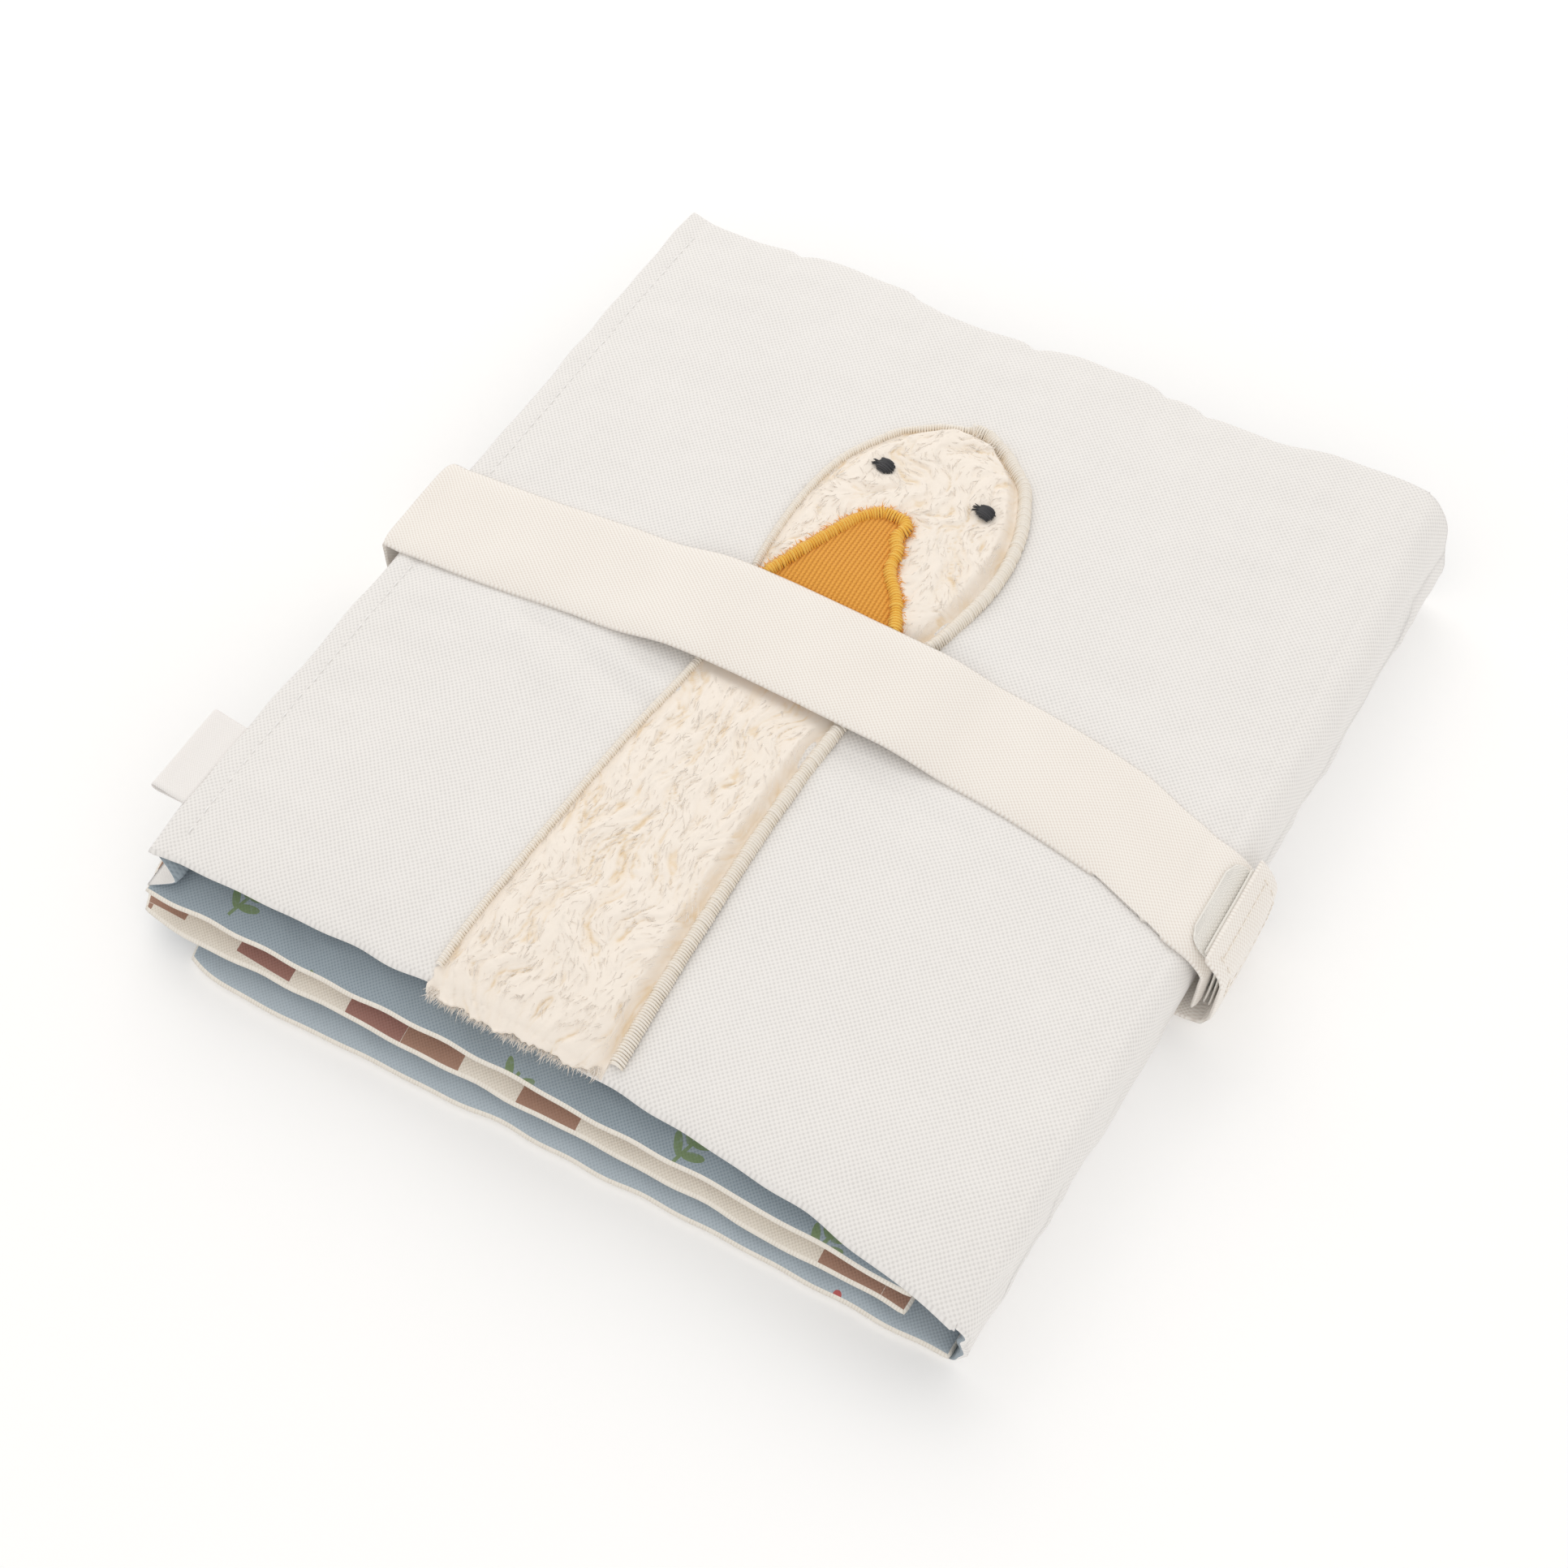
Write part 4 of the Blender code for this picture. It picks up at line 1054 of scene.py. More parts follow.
@dataclass
class Leaf:
    """One padded leaf: two cloths over their filling, sewn and turned at the rim."""

    name: str
    shape: LeafShape
    body: str
    nodes: tuple
    top: bpy.types.Material
    under: bpy.types.Material
    rim: bpy.types.Material
    slot: str
    step: float = 2.2 * MM
    seed: int = 1
    pucker: float = 0.28 * MM
    creases: tuple = ()
    side: str = ""
    notches: tuple = ()

    def relief(self, u: Grid, v: Grid, seed: int) -> Grid:
        """How far a face stands off its smooth form: ripples, puckers at the seam.

        Args:
            u: shares across.
            v: shares along.
            seed: the seed of the unevenness.

        Returns:
            Heights.
        """
        x, y = self.shape.plan(u, v)
        full = self.shape.fullness(u, v)
        rim = np.clip(4 * full * (1 - full), 0, 1) * ease(full * 3)
        long_, mid = Ripple(38 * MM, seed), Ripple(15 * MM, seed + 1)
        short = Ripple(7.5 * MM, seed + 2)
        return (0.20 * MM * long_(x, y) * full + 0.025 * MM * mid(x, y) * full
                + self.pucker * rim * (0.55 * mid(x, y) + 0.35 * short(x, y)))

    def top_relief(self, u: Grid, v: Grid, high: Grid) -> Grid:
        """The upper face, with whatever presses on it; other leaves lie flat under their neighbour."""
        return high + self.relief(u, v, self.seed) - 0.12 * MM

    def build(self) -> bpy.types.Object:
        """Makes the pad and hands it to its body.

        Returns:
            The piece.
        """
        shape = self.shape
        lengths = (shape.right - shape.left, shape.far - shape.near)
        u, v = np.meshgrid(*(crowded(length, self.step / 2.4, self.step, 8 * MM) for length in lengths))
        x, y = shape.plan(u, v)
        low, high = shape.faces(u, v)
        high = self.top_relief(u, v, high)
        low = low + self.relief(u, v, self.seed + 40) * 0.5 + 0.1 * MM
        low = np.minimum(low, high - 0.4 * MM)
        edge = Ripple(16 * MM, self.seed + 7)
        loose = 0.0 if self.side else 1.0
        out_x = np.abs(u) ** 12 * np.where(u < 0, -1, loose) * 0.22 * MM * edge(y, 0 * y)
        out_y = np.abs(v) ** 12 * np.sign(v) * 0.25 * MM * edge(x, 0 * x + 1)
        for place, depth in self.notches:
            drawn = depth * bell(u - place, 0.022) - 0.3 * depth * bell(u - place, 0.12)
            out_y = out_y - drawn * MM * ease(v * 5 - 4)
        x, y = x + out_x, y + out_y
        uv = points_of(x, y) / MM
        piece = shell(self.name, points_of(x, y, high), points_of(x, y, low),
                      [self.top, self.under, self.rim], uv, bead=0.7 * MM, side=self.side)
        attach(piece, self.body)
        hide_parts(*self.nodes)
        return piece


@dataclass
class Cover(Leaf):
    """The front leaf, pressed by the strap and dimpled beside it."""

    stitch_inset: float = 4.6 * MM

    def top_relief(self, u: Grid, v: Grid, high: Grid) -> Grid:
        """The cover's face: dented under the strap, swelling beside it, creased where it is drawn."""
        x, y = self.shape.plan(u, v)
        beyond = near_strap(x, y)
        open_ = ease(beyond / (5 * MM))
        relief = self.relief(u, v, self.seed) * ease((beyond - 0.5 * MM) / (6 * MM))
        relief -= 0.15 * MM * (1 - ease((beyond + 7 * MM) / (6 * MM)))
        relief += 0.40 * MM * bell(beyond - 7 * MM, 4 * MM) * self.shape.fullness(u, v)
        for start, end, height, width in self.creases:
            a, b = np.array(start) * MM, np.array(end) * MM
            run = b - a
            share = ((x - a[0]) * run[0] + (y - a[1]) * run[1]) / (run @ run)
            side = ((x - a[0]) * run[1] - (y - a[1]) * run[0]) / math.hypot(*run)
            fade = ease(share * 3 + 0.6) * ease((1 - share) * 3 + 0.6) * open_
            relief += height * MM * bell(side, width * MM) * fade
        relief += cover_roll(u, v)
        inset = x - self.shape.left
        relief -= 0.30 * MM * bell(inset - self.stitch_inset, 1.4 * MM)
        return high + relief

    def topstitch(self, shapes: Shapes, thread: bpy.types.Material) -> bpy.types.Object:
        """The row of small stitches inside the free edge.

        Args:
            shapes: the repeated shapes.
            thread: the thread's material.

        Returns:
            The row.
        """
        y = np.arange(self.shape.near + 7 * MM, self.shape.far - 12 * MM, 2.5 * MM)
        x = np.full_like(y, self.shape.left + self.stitch_inset)
        open_ = near_strap(x, y) > 1 * MM
        x, y = x[open_], y[open_]
        u, v = self.shape.shares(x, y)
        z = self.top_relief(u, v, self.shape.faces(u, v)[1]) - 0.13 * MM
        sizes = np.tile([1.9 * MM, 0.42 * MM, 0.30 * MM], (len(y), 1))
        row = shapes.running.make("cover_topstitch", shapes.stitch, points_of(x, y, z),
                                  facing(np.tile([0.0, 1.0], (len(y), 1))), sizes, thread)
        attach(row, self.body)
        return row


# ---------------------------------------------------------------- the joining strips


@dataclass
class Spine:
    """The strip round the folded side, in two halves."""

    cloth: bpy.types.Material
    lining: bpy.types.Material
    thickness: float = 1.7 * MM
    halves: tuple = (("spine_lower_half", 0.0, 0.5), ("spine_upper_half", 0.5, 1.0))

    def surface(self, share: Grid, v: Grid, out: float) -> Grid:
        """The strip's face at shares up and along.

        Args:
            share: 0 at the back leaf to 1 at the cover.
            v: -1 at the near end to 1 at the far end.
            out: how far outside the inner face.

        Returns:
            The points.
        """
        y = BACK.plan(1 + 0 * v, v)[1] * (1 - share) + FRONT.plan(1 + 0 * v, v)[1] * share
        high = ROLL_Z - FRONT.droop(1.0, v)
        swell = np.sin(math.pi * share)
        up = 0.5 - 0.5 * np.sign(0.5 - share) * np.abs(np.cos(math.pi * share)) ** 0.85
        z = SPINE_LOW_Z - 2.0 * MM * (1 - up) ** 6 + (high - SPINE_LOW_Z) * up
        strap = 1 - ease((np.abs(y - STRAP_CENTRE_Y) - STRAP_WIDTH / 2) / (8 * MM))
        folds = Ripple(26 * MM, 71)(y, z * 3) * 0.8 + Ripple(9 * MM, 72)(y, z) * 0.25
        crease = -0.5 * bell(share - 0.55 - 0.07 * np.sin(y / (23 * MM)), 0.12)
        far_end = ease((v - 0.55) / 0.4)
        pointed = np.where(share < 0.36, share / 0.36, (1 - share) / 0.64) ** 0.85
        x = SPINE_X + SPINE_BULGE * (1 + 0.6 * v) * (swell ** 0.75 * (1 - far_end) + pointed * far_end)
        x = x + (folds * 0.6 + crease) * MM * swell * (1 - strap) - 0.4 * MM * strap * swell
        return points_of(x + out * swell - 0.4 * MM, y, z - (self.thickness - out) * up ** 4)

    def build(self) -> None:
        """Makes both halves in their place and hides the model's spine parts."""
        length = FRONT.far - FRONT.near
        along = crowded(length, 1.2 * MM, 2 * MM, 10 * MM)
        for name, low, high in self.halves:
            v, share = np.meshgrid(along, np.linspace(low, high, 21))
            outer, inner = self.surface(share, v, self.thickness), self.surface(share, v, 0.0)
            step = np.linalg.norm(np.diff(outer[..., [0, 2]], axis=0), axis=-1)
            run = FRONT.right + np.cumsum(np.vstack([step, step[:1] * 0])[::-1], axis=0)[::-1]
            uv = points_of(run, outer[..., 1]) / MM
            piece = shell(name, outer, inner, [self.cloth, self.lining], uv, bead=0.25 * MM, side="row" if low else "")
            if low == 0.0:
                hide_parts("spine_outer_cover")
                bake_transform(piece)
            else:
                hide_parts("spine_lining")
                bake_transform(piece)


@dataclass
class JoiningStrips:
    """The buckled gusset at the free edges and the fold between the two inner leaves."""

    outside: bpy.types.Material
    lining: bpy.types.Material

    def gusset(self) -> bpy.types.Object:
        """The strip between the cover and leaf B, pushed inwards along its middle.

        Returns:
            The piece.
        """
        rows = np.linspace(0, 1, 110)
        share, along = np.meshgrid(np.linspace(0, 1, 15), rows)
        near, far = float(FRONT.plan(-1, -1)[1]) + 0.2 * MM, float(LEAF_B.plan(-1, 1)[1]) - 2 * MM
        corner = float(LEAF_B.plan(-1, -1)[1]) + 0.8 * MM
        y = near + (corner - near) * share * (1 - along) ** 3 + (far - near) * along
        high = FRONT.bottom(FRONT.left + 0 * y, y) + 0.3 * MM
        low = LEAF_B.top(LEAF_B.left + 0 * y, y) - 0.3 * MM
        end = bell((y - near) / MM, 6.0)
        fold = 1 - np.abs(2 * share - 1) ** 1.3
        depth = (3.4 + 3.4 * end + 0.6 * Ripple(14 * MM, 81)(y, 0 * y)) * MM * fold
        x = FRONT.left + 0.3 * MM + depth
        z = low + (high - low) * (1 - share)
        outer = points_of(x, y, z)
        inner = points_of(x + 0.6 * MM, y, z)
        uv = points_of(y, z + x) / MM
        piece = shell("gusset_strip", outer[:, ::-1], inner[:, ::-1], [self.outside, self.lining], uv[:, ::-1],
                      bead=0.1 * MM)
        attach(piece, "front")
        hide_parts("gusset")
        return piece

    def inner_fold(self) -> None:
        """The fold between leaves B and C, in two halves."""
        near = max(float(LEAF_B.plan(1, -1)[1]), float(LEAF_C.plan(1, -1)[1])) + 3.5 * MM - 1.5 * MM
        far = min(float(LEAF_B.plan(1, 1)[1]), float(LEAF_C.plan(1, 1)[1])) - 3.5 * MM
        along = np.linspace(near, far, 90)
        low_z, high_z = LEAF_C.base + LEAF_C.seam, LEAF_B.base + LEAF_B.seam
        x0 = LEAF_B.right + GAP
        for name, start, end in (("inner_fold_lower", 0.0, 0.5), ("inner_fold_upper", 0.5, 1.0)):
            y, share = np.meshgrid(along, np.linspace(start, end, 8))
            bulge = (3.4 + 0.5 * Ripple(16 * MM, 91)(y, 0 * y)) * MM * np.sin(math.pi * share)
            z = low_z + (high_z - low_z) * share
            inner = points_of(x0 + bulge - 0.5 * MM, y, z)
            outer = points_of(x0 + bulge + 0.8 * MM, y, z)
            piece = shell(name, outer, inner, [self.lining] * 2, points_of(y, z + x0) / MM, bead=0.2 * MM)
            if start == 0.0:
                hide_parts("inner_fold")
                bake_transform(piece)
            else:
                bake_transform(piece)


# ---------------------------------------------------------------- the goose


@dataclass
class Goose:
    """The plush goose on the cover, with its cord edging, its knitted beak and its eyes."""

    cupboard: Cupboard
    shapes: Shapes
    fringe: int = 1000
    loose: int = 6000
    tuft: int = 46
    overhang: float = 6.4 * MM
    clump_rise: float = 1.15
    clump_sink: float = 0.25
    fibre_rise: float = 0.12
    backing: float = 0.35 * MM
    relief: Optional[tuple] = None

    def eye_x(self, side: int) -> float:
        """Where the left (-1) or right (1) eye is across the book."""
        return GOOSE_X + (2.0 + side * 12.1) * MM

    def height(self, x: Grid, y: Grid) -> Grid:
        """The height of the plush ground at a place."""
        left, right = goose_edges(y)
        share = np.clip((x - left) / (right - left), 0, 1)
        rim = 1 - np.abs(2 * share - 1) ** 5 * 0.5
        return FRONT.top(x, y) + GAP + pile_height(x, y) * rim

    def ground(self) -> bpy.types.Object:
        """The woolly face of the plush, its fibres combed along the flow, hanging over the near edge.

        Returns:
            The piece.
        """
        share, row = np.meshgrid(crowded(1.0, 0.006, 0.0095, 0.06) / 2 + 0.5, np.linspace(0, 1, 420))
        start = GOOSE_FOOT_Y - self.overhang
        y = start + row * (GOOSE_FOOT_Y + GOOSE_HEIGHT - 0.3 * MM - start)
        left, right = goose_edges(y)
        beyond = 1.1 * MM + 0.3 * MM * Ripple(3 * MM, 105)(y, 0 * y)
        x = left - beyond + (right - 0.7 * MM - left + beyond) * share
        ragged = 0.42 * Ripple(4.6 * MM, 103)(x, 0 * x) + 0.20 * Ripple(1.3 * MM, 104)(x, 0 * x)
        y = y + (ragged + 2.4 * share ** 3) * MM * ease(1 - row * 30)
        inside_left, inside_right = x - left - 0.3 * MM, right - x - 1.2 * MM
        body = ease(inside_left / (3.2 * MM)) * ease(inside_right / (2.6 * MM)) * ease((1 - row) * 45 + 0.1)
        open_ = ease(near_strap(x, y) / (5 * MM)) * (1 - self.under_beak(x, y))
        clumps, crease, fibres = self.combed(x, y)
        hang = self.hang(y)
        flat = FRONT.top(x, y) + self.backing
        top = flat + (self.height(x, y) - flat) * body
        for side in (-1, 1):
            open_ = open_ * (1 - 0.85 * bell(np.hypot(x - self.eye_x(side), y - EYE_Y), 3 * MM))
        wool = self.clump_rise * clumps * body - self.clump_sink * body + self.fibre_rise * fibres * (0.4 + 0.6 * body)
        top = top + wool * open_ * MM
        top = top - 1.5 * MM * hang ** 2
        low = np.where(hang > 0.35, top - 2.2 * MM * ease(row * 40 + 0.15), FRONT.top(x, y) - 0.4 * MM)
        low = np.minimum(low, top - 0.3 * MM)
        top = np.where(near_strap(x, y) < 0.5 * MM, np.minimum(top, FRONT.top(x, y) + 2.7 * MM), top)
        piece = shell("goose_wool", points_of(x, y, top), points_of(x, y, low),
                      [self.cupboard.plush] * 2, points_of(x, y) / MM)
        # Painted shade: the wool is painted darker in its creases and in the valley beside the right-hand rope, lighter
        # on the clump tops; the underside is painted at half shade and the rim at 0.7.
        rope_valley_shade = 1 - (0.30 + 0.12 * Ripple(8 * MM, 106)(y, x)) * (1 - ease(inside_right / (2.4 * MM)))
        shade = (0.72 + 0.42 * clumps - 0.42 * crease + 0.14 * fibres) * rope_valley_shade
        shade = np.clip(shade, 0, 1).ravel()
        rest = len(piece.data.vertices) - 2 * shade.size
        values = np.concatenate([shade, shade * 0 + 0.5, np.full(rest, 0.7)])
        piece.data.attributes.new("shade", "FLOAT", "POINT").data.foreach_set("value", values)
        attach(piece, "front")
        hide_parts("goose_plush")
        return piece

    def combed(self, x: Grid, y: Grid) -> tuple[Grid, Grid, Grid]:
        """The wool's relief: soft clumps with narrow valleys between, and the fibres on them.

        Args:
            x: places across.
            y: places along.

        Returns:
            The clumps, 0 in a crease to about 1, the creases, and the fibres, about -1 to 1.
        """
        cell = 0.25 * MM
        x0, y0 = GOOSE_X - 30 * MM, GOOSE_FOOT_Y - 10 * MM
        columns, rows = 240, 740
        gx, gy = np.meshgrid(x0 + np.arange(columns) * cell, y0 + np.arange(rows) * cell)
        if self.relief is None:
            self.relief = (self.comb(gx, gy, 9, 12, 0), self.comb(gx, gy, 4, 18, 1), self.comb(gx, gy, 1, 9, 2))
        broad, small, fine = (self.sample(r, (x - x0) / cell, (y - y0) / cell) for r in self.relief)
        crease = np.exp(-((small + 0.3) / 0.26) ** 2) * ease((0.4 - broad) / 1.5)
        clumps = 0.62 + 0.17 * broad + 0.06 * small - 0.20 * crease
        return clumps, crease, fine * 0.75 + small * 0.25

    def comb(self, gx: Grid, gy: Grid, grain: int, reach: int, seed: int) -> Grid:
        """Draws noise out along the flow over a fine grid.

        Args:
            gx: the grid's places across.
            gy: its places along.
            grain: the noise's cells, in the grid's.
            reach: how far it is drawn each way.
            seed: the noise's own seed.

        Returns:
            The drawn-out noise, spread by about 1.
        """
        rows, columns = gx.shape
        way = self.flow(gx, gy)
        coarse = np.random.default_rng(104 + seed).normal(0, 1, (rows // grain + 2, columns // grain + 2))
        noise = self.sample(coarse, gx * 0 + np.arange(columns) / grain, gy * 0 + np.arange(rows)[:, None] / grain)
        total = np.zeros_like(noise)
        for sign in (-1, 1):
            px = np.tile(np.arange(columns, dtype=float), (rows, 1))
            py = np.tile(np.arange(rows, dtype=float)[:, None], (1, columns))
            for _ in range(reach * 2):
                i, j = np.clip(py.astype(int), 0, rows - 1), np.clip(px.astype(int), 0, columns - 1)
                px, py = px + sign * way[i, j, 0] * 0.8, py + sign * way[i, j, 1] * 0.8
                total += self.sample(noise, px, py)
        return total / total.std()

    def under_beak(self, x: Grid, y: Grid) -> Grid:
        """Where the beak presses the pile flat: 1 well inside its outline, 0 outside."""
        share, left, right = beak_edges(y)
        depth = np.minimum(np.minimum(x - left, right - x), np.minimum(share, 1 - share) * BEAK_HEIGHT)
        return ease(depth / (1.6 * MM) + 0.55)

    @staticmethod
    def sample(field_: Grid, px: Grid, py: Grid) -> Grid:
        """Reads a field between its cells."""
        px = np.clip(px, 0, field_.shape[1] - 1.001)
        py = np.clip(py, 0, field_.shape[0] - 1.001)
        i, j = py.astype(int), px.astype(int)
        fy, fx = py - i, px - j
        upper = field_[i, j] * (1 - fx) + field_[i, j + 1] * fx
        lower = field_[i + 1, j] * (1 - fx) + field_[i + 1, j + 1] * fx
        return upper * (1 - fy) + lower * fy

    def flow(self, x: Grid, y: Grid) -> Grid:
        """Which way the pile lies at a place: towards the near end, in swirls."""
        turn = 0.50 * Ripple(22 * MM, 111)(x, y) + 0.28 * Ripple(8 * MM, 112)(x, y)
        turn = turn * np.where(y > 20 * MM, 1.7, 1.0) - 0.15 * (x - GOOSE_X) / (GOOSE_WIDTH / 2)
        return points_of(np.sin(turn), -np.cos(turn))

    def hang(self, y: Grid) -> Grid:
        """How far a place is over the near edge: 0 on the cover to 1 beyond it."""
        return np.clip((COVER_NEAR_Y + 1.5 * MM - y) / (4 * MM), 0, 1)

    def fringe_wisps(self, rng: np.random.Generator) -> Wisps:
        """Fibres along the hanging near edge."""
        y = GOOSE_FOOT_Y - rng.uniform(0.8, 1.02, self.fringe) * self.overhang + 0.4 * MM
        left, right = goose_edges(y)
        x = left + (right - left) * rng.uniform(-0.01, 0.97, self.fringe)
        y = y + 2.4 * MM * np.clip((x - left) / (right - left), 0, 1) ** 3
        hang = self.hang(y)
        z = self.height(x, y) - (0.5 + 1.6 * hang ** 2) * MM
        turn = rng.normal(0, 0.45, self.fringe)
        length = rng.uniform(0.9, 2.3, self.fringe) * MM
        return points_of(x, y, z), points_of(np.sin(turn), -np.cos(turn)), length, -0.35 * hang

    def pile_wisps(self, rng: np.random.Generator) -> Wisps:
        """Loose fibres all over the pile, clear of the strap, the beak and the eyes.

        Args:
            rng: the source of the random draws.

        Returns:
            Their places, ways, lengths and leans.
        """
        x = GOOSE_X + rng.uniform(-0.6, 0.6, self.loose) * GOOSE_WIDTH
        y = GOOSE_FOOT_Y + rng.uniform(0, 1, self.loose) * (GOOSE_HEIGHT - 2 * MM)
        left, right = goose_edges(y)
        keep = (x > left - 0.9 * MM) & (x < right - 1.7 * MM) & (near_strap(x, y) > 2 * MM)
        keep &= ~self.on_beak(x, y, 1.6 * MM) & ~self.on_beak(x, y - 2.2 * MM, 1.2 * MM)
        for side in (-1, 1):
            keep &= np.hypot(x - self.eye_x(side), (y - EYE_Y) * 0.8 - 0.6 * MM) > 2.6 * MM
        x, y = x[keep], y[keep]
        clumps, _, fibres = self.combed(x, y)
        body = ease((x - goose_edges(y)[0] - 0.3 * MM) / (3.2 * MM))
        flat = FRONT.top(x, y) + self.backing
        wool = (self.clump_rise * clumps - self.clump_sink) * body + self.fibre_rise * fibres
        z = flat + (self.height(x, y) - flat) * body + wool * MM - 0.05 * MM
        turn = rng.normal(0, 0.35, len(x))
        flow = self.flow(x, y)
        way = points_of(flow[:, 0] * np.cos(turn) - flow[:, 1] * np.sin(turn),
                        flow[:, 0] * np.sin(turn) + flow[:, 1] * np.cos(turn))
        length = rng.uniform(1.0, 2.6, len(x)) * MM
        return points_of(x, y, z), way, length, rng.normal(0.02, 0.06, len(x))

    def tuft_wisps(self, rng: np.random.Generator) -> Wisps:
        """A tuft at the head's top."""
        y = GOOSE_FOOT_Y + GOOSE_HEIGHT * (1 - rng.uniform(0.012, 0.05, self.tuft))
        x = GOOSE_X + GOOSE_WIDTH * rng.uniform(0.03, 0.24, self.tuft)
        turn = rng.normal(1.35, 0.5, self.tuft)
        z = self.height(x, y) - 0.3 * MM
        length = rng.uniform(1.5, 4.5, self.tuft) * MM
        return points_of(x, y, z), points_of(np.cos(turn), np.sin(turn)), length, rng.uniform(-0.1, 0.3, self.tuft)

    def wisps(self) -> bpy.types.Object:
        """Loose fibres: all over the pile, along the hanging near edge and a tuft at the head's top.

        Returns:
            The piece.
        """
        rng = np.random.default_rng(121)
        groups = [self.fringe_wisps(rng), self.pile_wisps(rng), self.tuft_wisps(rng)]
        places, way, length, lean = (np.concatenate(kind) for kind in zip(*groups))
        piece = self.shapes.locks.make("goose_wisps", self.shapes.wisp, places, facing(way, lean),
                                       points_of(length, 0.15 * MM, 0.12 * MM), self.cupboard.plush)
        self.press(piece)
        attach(piece, "front")
        return piece

    def press(self, piece: bpy.types.Object) -> None:
        """Keeps a fuzzy piece under the strap and over the cover."""
        count = len(piece.data.vertices)
        points = np.empty(count * 3)
        piece.data.vertices.foreach_get("co", points)
        points = points.reshape(-1, 3) + ORIGIN
        x, y = points[:, 0], points[:, 1]
        cover = FRONT.top(x, np.clip(y, GOOSE_FOOT_Y - 9 * MM, 1.0))
        ceiling = cover + 2.75 * MM + 20 * MM * ease((near_strap(x, y) - 0.3 * MM) / (4 * MM))
        over_edge = y < COVER_NEAR_Y
        points[:, 2] = np.minimum(points[:, 2], ceiling)
        points[:, 2] = np.where(over_edge, points[:, 2], np.maximum(points[:, 2], cover + 0.1 * MM))
        piece.data.vertices.foreach_set("co", (points - ORIGIN).ravel())
        piece.data.update()

    def route(self) -> Grid:
        """The line of the edging, up the left side and down the right."""
        y = np.linspace(GOOSE_FOOT_Y - 1 * MM, GOOSE_FOOT_Y + GOOSE_HEIGHT, 160)
        left, right = goose_edges(y)
        line = np.vstack([points_of(left, y), points_of(right, y)[::-1]])
        way = tangents(line)
        line = line + leftward(way) * 0.75 * MM
        return resampled(line, 0.60 * MM)

    def edging(self) -> None:
        """The cord of cream satin stitches round the goose."""
        line = self.route()
        way = tangents(line)
        x, y = line[:, 0], line[:, 1]
        under = near_strap(x, y) < 0.5 * MM
        flat = np.where(under, 0.75, 1.0)
        z = FRONT.top(x, y) + 0.15 * MM
        side = leftward(way)
        full = np.where(x > GOOSE_X, 1.0, 0.60)
        sizes = points_of(3.0 * MM * full, 0.62 * MM, 1.7 * MM * flat * full)
        rope = self.shapes.satin.make("goose_satin_edging", self.shapes.stitch, points_of(x, y, z), facing(side),
                                      sizes, self.cupboard.cream_thread)
        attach(rope, "front")
        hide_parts("goose_edging")

    def beak_line(self, out: float, step: float) -> Grid:
        """The beak's outline as a closed line moved out by a distance."""
        y = BEAK_FOOT_Y + np.linspace(0, 1, 60) * BEAK_HEIGHT
        _, left, right = beak_edges(y)
        line = np.vstack([points_of(left, y), points_of(right, y)[::-1]])
        line = resampled(line, step, closed=True)
        way = tangents(line, closed=True)
        return line + leftward(way) * out

    def on_beak(self, x: Grid, y: Grid, margin: float) -> Grid:
        """Whether a place is inside the beak's outline grown by a margin."""
        share, left, right = beak_edges(y)
        grown = margin / BEAK_HEIGHT
        return (share > -grown) & (share < 1 + grown) & (x > left - margin) & (x < right + margin)

    def beak_height(self, x: Grid, y: Grid) -> Grid:
        """The top of the pressed pile under the beak."""
        return self.height(x, y) + 0.25 * MM

    def beak(self) -> None:
        """The knitted beak with its satin border and the fuzz beyond it."""
        share, row = np.meshgrid(np.linspace(0, 1, 150), np.linspace(0, 1, 110))
        y = BEAK_FOOT_Y + row * BEAK_HEIGHT
        _, left, right = beak_edges(y)
        x = left + (right - left) * share
        rib = np.abs(np.sin(math.pi * x / (BEAK_RIB * MM)))
        rim = ease(np.minimum(share, 1 - share) * 8) * ease(np.minimum(row, 1 - row) * 12)
        top = self.beak_height(x, y) + 0.25 * MM + (0.16 * rib + 0.50 * rim) * MM
        top += 0.05 * MM * np.sin(2 * math.pi * y / (0.8 * MM))
        top = np.where(near_strap(x, y) < 1 * MM, np.minimum(top, FRONT.top(x, y) + 2.8 * MM), top)
        low = self.beak_height(x, y) - 0.6 * MM
        piece = shell("beak_knit", points_of(x, y, top), points_of(x, y, low),
                      [self.cupboard.knit] * 2, points_of(x, y) / MM)
        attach(piece, "front")
        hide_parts("beak")
        self.beak_border()

